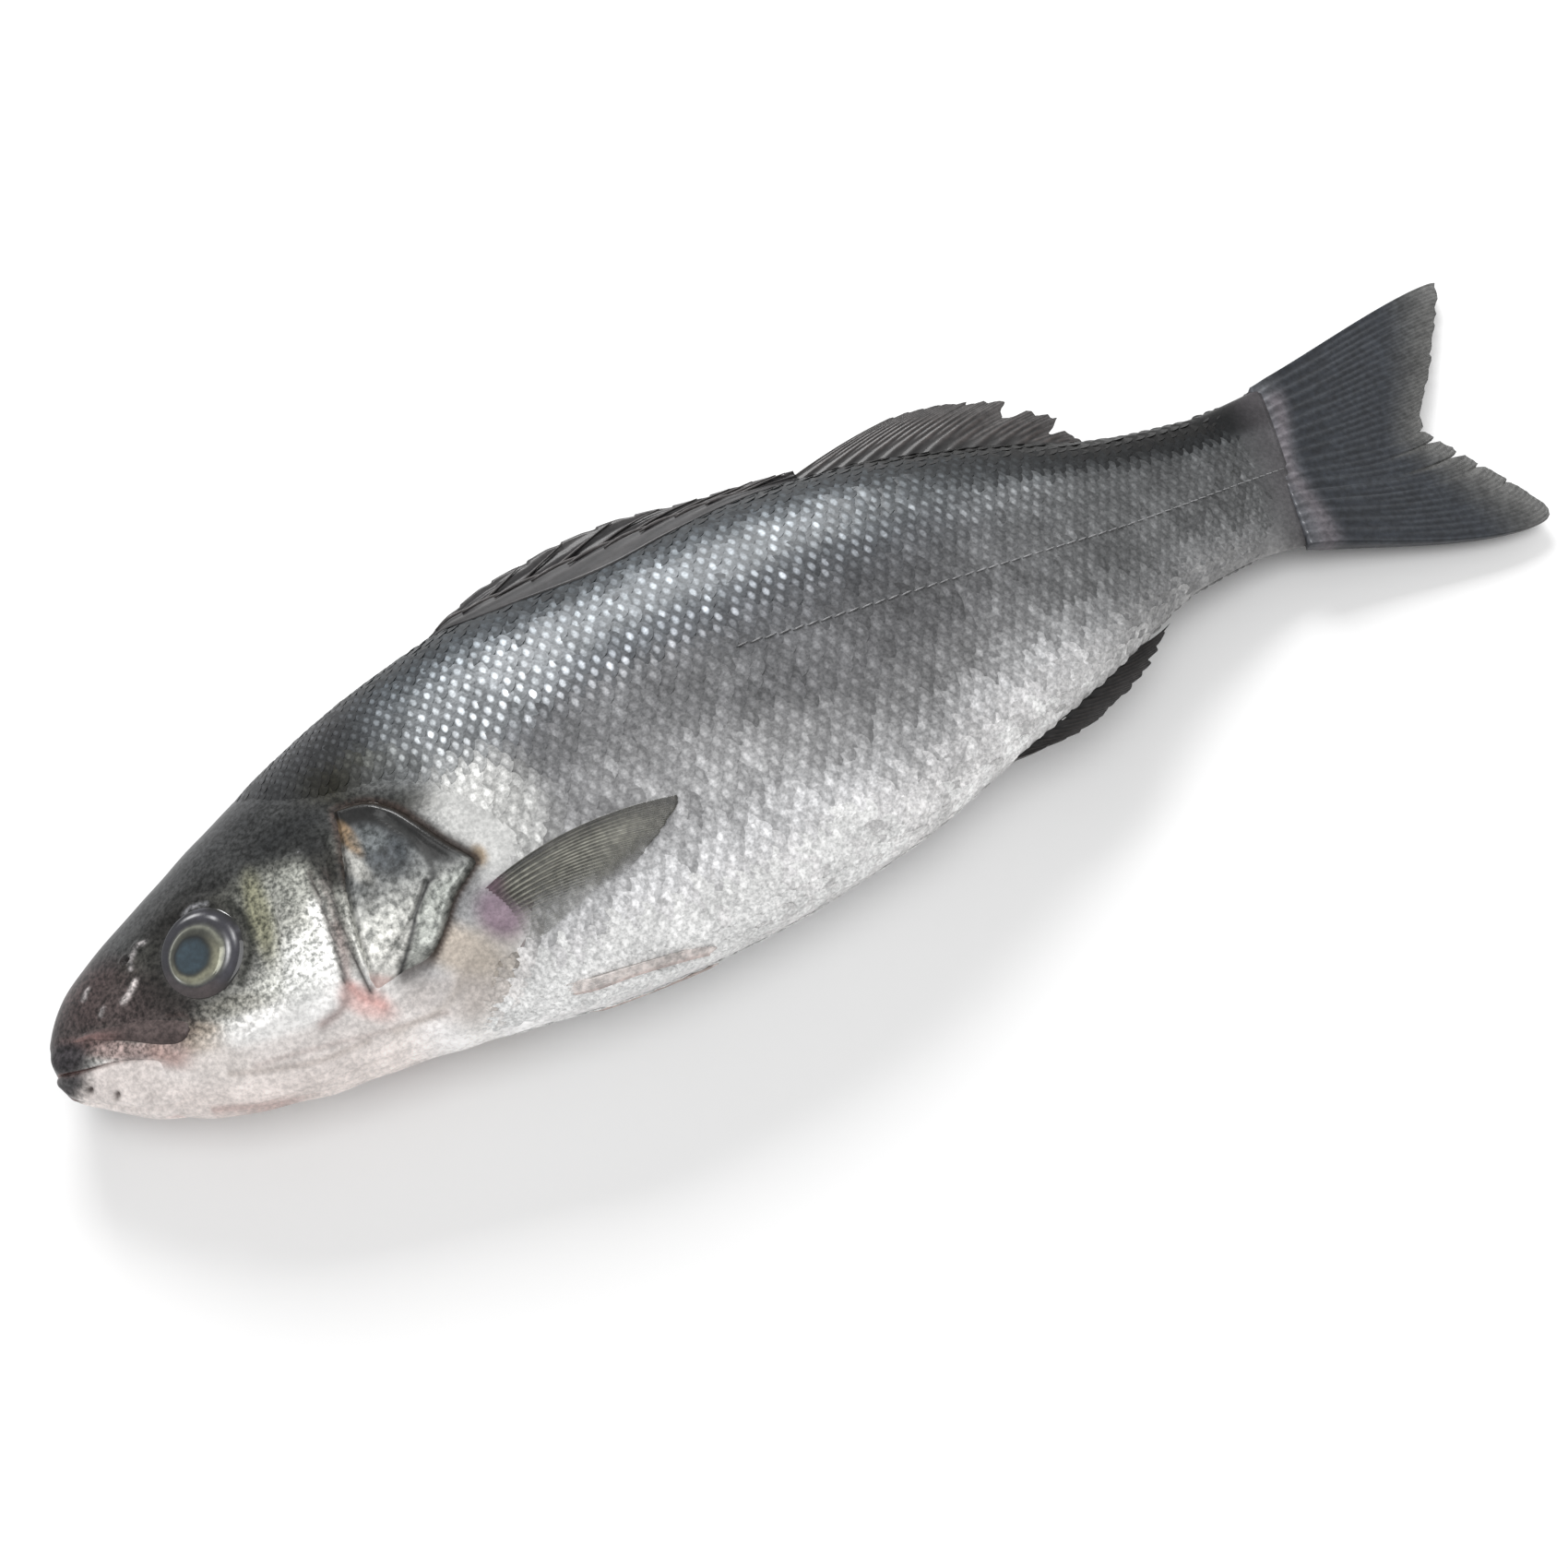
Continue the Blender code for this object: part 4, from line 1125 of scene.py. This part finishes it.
def rayFin(name, settings, place, look, slot, replaces, tone):
    # membrane and rays as one closed sheet: rays stand out as ridges that split towards the edge
    rays, perRay, rows = settings["rays"], settings["perRay"], settings["rows"]
    columns = rays * perRay + 1
    across = np.linspace(0, 1, columns)
    share = np.linspace(0, 1, rows)
    draw = np.random.default_rng(settings["seed"])
    root, tip = alongLine(settings["root"], across), alongLine(settings["tip"], across)
    splits = rays * settings["branches"]
    fray = np.interp(across * splits, np.arange(splits + 1), draw.uniform(-1, 0.3, splits + 1))
    fray = fray - 0.8 * (1 - np.abs(np.cos(math.pi * rays * across)) ** 0.6)
    reach = tip - root
    size = np.linalg.norm(reach, axis=1, keepdims=True)
    tip = tip + reach / size * (fray * settings["fray"])[:, None]
    for at, wide, deep in settings.get("tears", ()):
        notch = np.clip(1 - np.abs(across - at) / wide, 0, 1) ** 0.7
        tip = tip - reach / size * (notch * deep)[:, None]
    bend = np.stack([-reach[:, 1], reach[:, 0]], -1) / size
    early, late = settings.get("bendShape", (1.0, 1.0))
    sideways = np.interp(across, [0, 1], settings["bend"])
    curve = (share ** early * (1 - share) ** late)[:, None] * sideways[None]
    xy = root[None] + (tip - root)[None] * share[:, None, None] + bend[None] * curve[..., None]
    x, y = xy[..., 0], xy[..., 1]
    turnsUp = rise(share - 0.25, 0.3)[:, None]
    finest = rise(share - 0.6, 0.3)[:, None]
    phase = math.pi * rays * across[None]
    single = np.abs(np.cos(phase)) ** 3
    double = np.abs(np.cos(2 * phase)) ** 2
    fourfold = np.abs(np.cos(4 * phase)) ** 1.5
    ridge = single * (1 - turnsUp) + (double * (1 - finest) + fourfold * finest) * turnsUp
    first, last = settings["thick"]
    slim = 1 - 0.65 * share[:, None]
    half = (first + (last - first) * share[:, None] ** 0.8) / 2 + settings["ridge"] * ridge * slim
    half = half * (0.7 + 0.3 * smoothStep(share / settings.get("rise", 0.01)))[:, None]
    wave = settings.get("wave", 0.0) * softNoise(x, y, 9.0, settings["seed"]) * share[:, None]
    outer, inner = place(x, y, wave + half), place(x, y, wave - half)
    v, u = np.broadcast_to(share[:, None], x.shape), np.broadcast_to(across, x.shape)
    paint, body = tone(v, u, ridge)
    uv = np.stack([u, v], -1)
    return sheetPiece(name, outer, inner, look, slot, uv=uv, replaces=replaces, paint=paint,
                      fleck=np.full(x.shape, 0.45), body=body)


def inPlane(x, y, lift):
    return np.stack([x, y, planeHeight(x) + lift], -1)


tailFin = {
    "root": [(283, 20.4), (281, 12), (278, 2), (275, -8), (272, -18.6)],
    "tip": [(338.6, 26.4), (337.4, 23.4), (332.4, 17.6), (324, 7.9), (316.4, 0.4), (313.4, -4.6), (315, -9),
            (317, -13.6), (320.4, -20), (323.4, -26.6), (326, -32.8), (325.2, -34.9)],
    "rays": 17, "perRay": 16, "rows": 70, "branches": 4, "fray": 0.45, "thick": (4.0, 0.45), "ridge": 0.2,
    "tears": [(0.6, 0.01, 5.5), (0.68, 0.011, 7), (0.75, 0.008, 3), (0.55, 0.007, 1.5), (0.84, 0.006, 1.2)],
    "bend": (5.5, -11.5), "bendShape": (1.6, 0.6), "wave": 0.25, "rise": 0.09, "seed": 31,
}


def tailTone(share, across, ridge):
    streak = softNoise(across * 300, share * 26, 2.2, 5)
    base = flatTone(share.shape, (0.016, 0.019, 0.025, 0.05))
    base = layered(base, [
        ((0.08, 0.083, 0.094, 0.15), 0.85 * rise(0.18 - share, 0.14)),
        ((0.045, 0.05, 0.058, 0.05), 0.5 * ridge * rise(share - 0.1, 0.2))])
    dark = smoothStep(streak - 0.5) * rise(share - 0.13, 0.06) * rise(0.6 - share, 0.2)
    base = layered(base, [
        ((0.016, 0.018, 0.022, 0.1), 0.6 * dark),
        ((0.105, 0.104, 0.1, 0.05), 0.85 * rise(share - 0.7, 0.3))])
    crease = bump(share - 0.07 - 0.02 * np.sin(across * 9), 0.045)
    base = mixColour(base, (0.15, 0.13, 0.145, 0.1), 0.5 * crease * rise(across - 0.05, 0.1))
    body = 1 - 0.34 * rise(share - 0.76, 0.22) * (1 - 0.5 * ridge)
    return base, body


rayFin("tailFin", tailFin, inPlane, darkFin, "fin", ("caudal_fin",), tailTone)
print("stage: tail fin")


def backRoot(start, end, sink, line=backLine, count=9):
    xs = np.linspace(start, end, count)
    return [(x, float(line(x)) + sink) for x in xs]


softDorsal = {
    "root": backRoot(173, 236, -1.4),
    "tip": [(207, 46.8), (213, 46.4), (219.6, 45.2), (226, 43), (231.6, 40.6), (234, 37), (237.4, 34.2),
            (240.6, 31.2), (240, 28.4), (242, 24)],
    "rays": 13, "perRay": 14, "rows": 56, "branches": 3, "fray": 0.8, "thick": (2.0, 0.35), "ridge": 0.15,
    "tears": [(0.62, 0.05, 4.5), (0.86, 0.04, 4), (0.4, 0.02, 1.6)],
    "bend": (4.0, 3.0), "bendShape": (0.8, 1.0), "wave": 0.5, "seed": 41,
}
analFin = {
    "root": backRoot(187, 222, 1.2, bellyLine),
    "tip": [(197, -34), (206, -34.2), (216, -31.8), (226, -27.4), (235, -21.4)],
    "rays": 11, "perRay": 14, "rows": 40, "branches": 3, "fray": 0.9, "thick": (1.5, 0.35), "ridge": 0.26,
    "bend": (-1.2, -2.4), "wave": 0.4, "seed": 43,
}


def dorsalTone(share, across, ridge):
    base = flatTone(share.shape, (0.012, 0.0115, 0.012, 0.05))
    base = layered(base, [
        ((0.05, 0.041, 0.039, 0.05), 0.8 * ridge * rise(share - 0.12, 0.3)),
        ((0.06, 0.056, 0.056, 0.05), 0.7 * rise(share - 0.62, 0.3))])
    return base, 1 - 0.22 * rise(share - 0.6, 0.3) * (1 - ridge)


def analTone(share, across, ridge):
    base, body = dorsalTone(share, across, ridge)
    return base * np.array((0.5, 0.5, 0.5, 1.0)), body


rayFin("softDorsalFin", softDorsal, inPlane, darkFin, "fin", ("second_dorsal_fin",), dorsalTone)
rayFin("analFin", analFin, inPlane, darkFin, "fin", ("anal_fin",), analTone)


def tubeMesh(lines, radii, sides=8):
    # tapered tubes along polylines, each closed at both ends
    points, faces = [], []
    for line, radius in zip(lines, radii):
        line = np.asarray(line)
        along = np.gradient(line, axis=0)
        along /= np.linalg.norm(along, axis=1, keepdims=True)
        across = np.cross(along, [0, 0, 1])
        across /= np.linalg.norm(across, axis=1, keepdims=True)
        up = np.cross(across, along)
        angle = np.arange(sides) * 2 * math.pi / sides
        ring = (line[:, None] + across[:, None] * (np.cos(angle)[None] * radius[:, None])[..., None]
                + up[:, None] * (np.sin(angle)[None] * radius[:, None])[..., None])
        start = len(points)
        points += ring.reshape(-1, 3).tolist()
        faces += bandFaces(len(line), sides, start)
        faces.append([start + s for s in range(sides)])
        faces.append([start + (len(line) - 1) * sides + s for s in range(sides)])
    return np.array(points), faces


foldedFin = {
    "outer": [(99, 43.6), (103, 46), (108, 47.8), (114, 49.2), (122, 50.1), (130, 50.7), (140, 50.6),
              (150, 48.9), (158, 47.2), (166, 45.8), (174, 44.8), (182, 43.2)],
    "reach": [(99, 0.16), (106, 0.44), (116, 0.52), (135, 0.62), (150, 0.52), (166, 0.36), (182, 0.16)],
    "lean": 2.6, "rows": 200, "columns": 28, "notch": 0.35, "start": 99, "span": (99.2, 181.8),
    "crest": 0.62, "crestTurn": 0.1,     # where the fold passes the ridge of the back
    "spines": [(101, 21), (107, 25), (114, 29), (122, 31), (130, 31), (138, 30), (146, 27), (154, 24),
               (161, 19)],
    "spineRadius": 0.5,
}
foldOuter, foldReach = smoothCurve(foldedFin["outer"]), smoothCurve(foldedFin["reach"])


def foldPlace(x, share):
    # over the folded fin: from its hem on the upper flank (0) across the ridge to its free edge (1)
    reach = foldReach(x)
    crest, crestTurn = foldedFin["crest"], foldedFin["crestTurn"]
    hug = np.clip(share / crest, 0, 1)
    full = np.clip(reach / 0.4, 0.2, 1)
    skin, out, _ = skinFrame(x, reach * (1 - hug) + crestTurn * hug)
    spot = skin + out * (1.6 * np.sin(hug * math.pi / 2) * full)[..., None]
    ridge, ridgeOut, _ = skinFrame(x, crestTurn)
    ridge = ridge + ridgeOut * (1.65 * full)[..., None]
    edge = np.stack([x, foldOuter(x), planeHeight(x) + foldedFin["lean"]], -1)
    far = np.clip((share - crest) / (1 - crest), 0, 1)[..., None]
    return np.where(share[..., None] > crest, ridge + (edge - ridge) * far, spot)


def foldedDorsal():
    s = foldedFin
    along = np.linspace(*s["span"], s["rows"])
    share = np.linspace(0, 1, s["columns"])
    x, v = np.meshgrid(along, share, indexing="ij")
    past = x - s["start"]
    step = (past / 8.0 + 0.9 * v) % 1.0
    notch = s["notch"] * rise(step - 0.55, 0.4) * rise(v - 0.7, 0.3)
    outer = foldPlace(x, v)
    outer[..., 1] -= notch
    pleat = 0.16 * np.sin((v * 5.2 - past / 17.0) * 2 * math.pi)
    outer[..., 2] += pleat * rise(v, 0.2)
    root = plainSkin(x, -0.05)
    inner = root + (outer - root) * (v ** 1.2)[..., None]
    inner = np.where(v[..., None] < s["crest"], outer - np.array([0, 0.5, 1.2]), inner)
    inner[..., 2] -= 0.5 + 0.6 * (1 - v)
    tone = flatTone(x.shape, (0.01, 0.0095, 0.011, 0.03))
    tone = layered(tone, [
        ((0.03, 0.027, 0.028, 0.05), 0.8 * rise(pleat, 0.25)),
        ((0.045, 0.042, 0.042, 0.05), 0.7 * rise(v - 0.8, 0.2))])
    uv = np.stack([v, past / 83], -1)
    return sheetPiece("spinyDorsalFin", outer, inner, darkFin, "fin", uv=uv, replaces=("first_dorsal_fin",),
                      paint=tone, fleck=np.full(x.shape, 0.5), body=np.ones(x.shape))


def dorsalSpines():
    spineLines, radii = [], []
    reach = np.linspace(0, 1, 20)
    for start, length in foldedFin["spines"]:
        x = start + reach * length
        v = 0.3 + 0.66 * reach ** 0.9
        spot = foldPlace(x, v)
        spot[..., 2] += 0.35
        spineLines.append(spot)
        radii.append(foldedFin["spineRadius"] * (1.05 - 0.8 * reach ** 1.5)
                     * (0.35 + 0.65 * rise(reach, 0.15)))
    points, faces = tubeMesh(spineLines, radii)
    count = len(points)
    return finishMesh("dorsalSpines", points, faces, darkFin, "fin", body=np.ones(count),
                      paint=flatTone((count,), (0.045, 0.041, 0.041, 0.05)), fleck=np.full(count, 0.4))


foldedDorsal()
dorsalSpines()
print("stage: fins on the back and belly")

pectoral = {
    "root": [(83.4, -15.8), (83.6, -18.6), (84.6, -22.4), (86.6, -26)],
    "tip": [(125.4, -16), (124.4, -17.6), (121.2, -19.4), (116.2, -21.9), (111.3, -23.9), (106, -25.2),
            (100, -26), (94, -26.8)],
    "rays": 16, "perRay": 12, "rows": 64, "branches": 2, "fray": 0.5, "thick": (0.9, 0.18), "ridge": 0.14,
    "bend": (11.0, -2.0), "wave": 0.12, "seed": 53,
}
pectoralUnder = dict(pectoral, root=[(85.0, -18.5), (84.8, -21.5), (85.0, -24.6), (85.6, -27.4)],
                     tip=[(122.0, -28.0), (121.4, -29.6), (118.0, -30.8), (112.0, -31.4), (104.0, -31.8),
                          (96.0, -31.0)],
                     bend=(6.0, -2.0))
pelvic = {
    "root": [(88, -35), (88, -36), (88.4, -37)],
    "tip": [(114, -39.6), (119.4, -41), (118, -41.5)],
    "rays": 6, "perRay": 16, "rows": 50, "branches": 3, "fray": 0.6, "thick": (1.2, 0.3), "ridge": 0.12,
    "bend": (-0.6, 0.4), "wave": 0.1, "seed": 59,
}


def pectoralTone(share, across, ridge):
    base = flatTone(share.shape, (0.05, 0.049, 0.038, 0.05))
    base = layered(base, [
        ((0.3, 0.295, 0.255, 0.1), 0.9 * ridge * rise(share - 0.1, 0.1)),
        ((0.024, 0.023, 0.02, 0.05), 0.8 * rise(0.16 - across, 0.16)),
        ((0.075, 0.073, 0.068, 0.05), 0.6 * rise(share - 0.75, 0.25)),
        ((0.24, 0.155, 0.2, 0.05), 0.9 * rise(0.2 - share, 0.16))])
    sheer = 0.74 - 0.68 * rise(across - 0.12, 0.55) * rise(share + 0.06, 0.2)
    return base, np.clip(sheer + 0.2 * ridge - 0.25 * rise(share - 0.8, 0.2), 0, 1)


def pelvicTone(share, across, ridge):
    base = flatTone(share.shape, (0.78, 0.72, 0.7, 0.02))
    base = mixColour(base, (0.56, 0.42, 0.39, 0.02), 0.6 * rise(across - 0.7, 0.3))
    return base, 0.95 - 0.2 * share


def lyingOn(side, gapLift, sag=0.0):
    # against the flank, the root sunk in the flesh
    def place(x, y, lift):
        clear = rise(x - 83.4 + 0.31 * (y + 15.8), 7)
        spot = onSkin(x, y, side, lift + gapLift * clear - 0.9 * (1 - clear))
        spot[..., 2] *= 1 - sag * rise(x - 86, 36)
        return spot
    return place


rayFin("pectoralFin_left", pectoral, lyingOn(1, 0.75), clearFin, "clear_fin", ("pectoral_fin_left",),
       pectoralTone)
rayFin("pectoralFin_right", pectoralUnder, lyingOn(-1, 0.75, 0.5), clearFin, "clear_fin",
       ("pectoral_fin_right",),
       pectoralTone)
for side, word in flanks:
    rayFin(f"pelvicFin_{word}", pelvic, lyingOn(side, 0.45), clearFin, "clear_fin", (f"pelvic_fin_{word}",),
           pelvicTone)
print("stage: paired fins")

# setting: pale floor, soft light and the camera

studio = {"world": 0.56, "floor": 0.93, "lens": 46.59, "distance": 397.0, "target": (147.1, -16.8, 19.5),
          "azimuth": 61.5, "elevation": 68.0,
          "lights": [         # name, place, aim, size and power
              ("windowLight", (0.25, 0.98, 0.63), (0, 0, 0.02), (0.62, 0.44), 13),
              ("topLight", (-0.05, -0.15, 1.3), (0, 0, 0), (1.1, 0.9), 6)]}


def makeFloor():
    mesh = bpy.data.meshes.new("floor")
    mesh.from_pydata([(-3, -3, 0), (3, -3, 0), (3, 3, 0), (-3, 3, 0)], [], [[0, 1, 2, 3]])
    look, tree, shader = makeLook("paleFloor", 0.85)
    fill(tree, shader, {"Base Color": (studio["floor"],) * 3 + (1,)})
    mesh.materials.append(look)
    addObject("floor", mesh)


def areaLight(name, place, aim, size, power):
    data = bpy.data.lights.new(name, "AREA")
    data.shape, data.size, data.size_y = "RECTANGLE", size[0], size[1]
    data.energy = power
    light = addObject(name, data)
    light.location = place
    light.rotation_euler = (Vector(aim) - Vector(place)).to_track_quat("-Z", "Y").to_euler()


def makeStudio():
    world = bpy.data.worlds.new("paleRoom")
    bpy.context.scene.world = world
    world.use_nodes = True
    fill(world.node_tree, world.node_tree.nodes["Background"],
         {"Color": (1, 1, 1, 1), "Strength": studio["world"]})
    for light in studio["lights"]:
        areaLight(*light)
    azimuth, elevation = math.radians(studio["azimuth"]), math.radians(studio["elevation"])
    forward = Vector((math.cos(azimuth) * math.cos(elevation), math.sin(azimuth) * math.cos(elevation),
                      -math.sin(elevation)))
    data = bpy.data.cameras.new("camera")
    data.sensor_width, data.lens = 36.0, studio["lens"]
    data.clip_start, data.clip_end = 0.01, 20
    camera = addObject("camera", data)
    target = Vector(np.array(studio["target"]) * mm + snout)
    camera.location = target - forward * studio["distance"] * mm
    camera.rotation_euler = forward.to_track_quat("-Z", "Y").to_euler()
    bpy.context.scene.camera = camera
    bpy.context.scene.view_settings.view_transform = "Standard"


makeFloor()
makeStudio()
print("stage: studio")
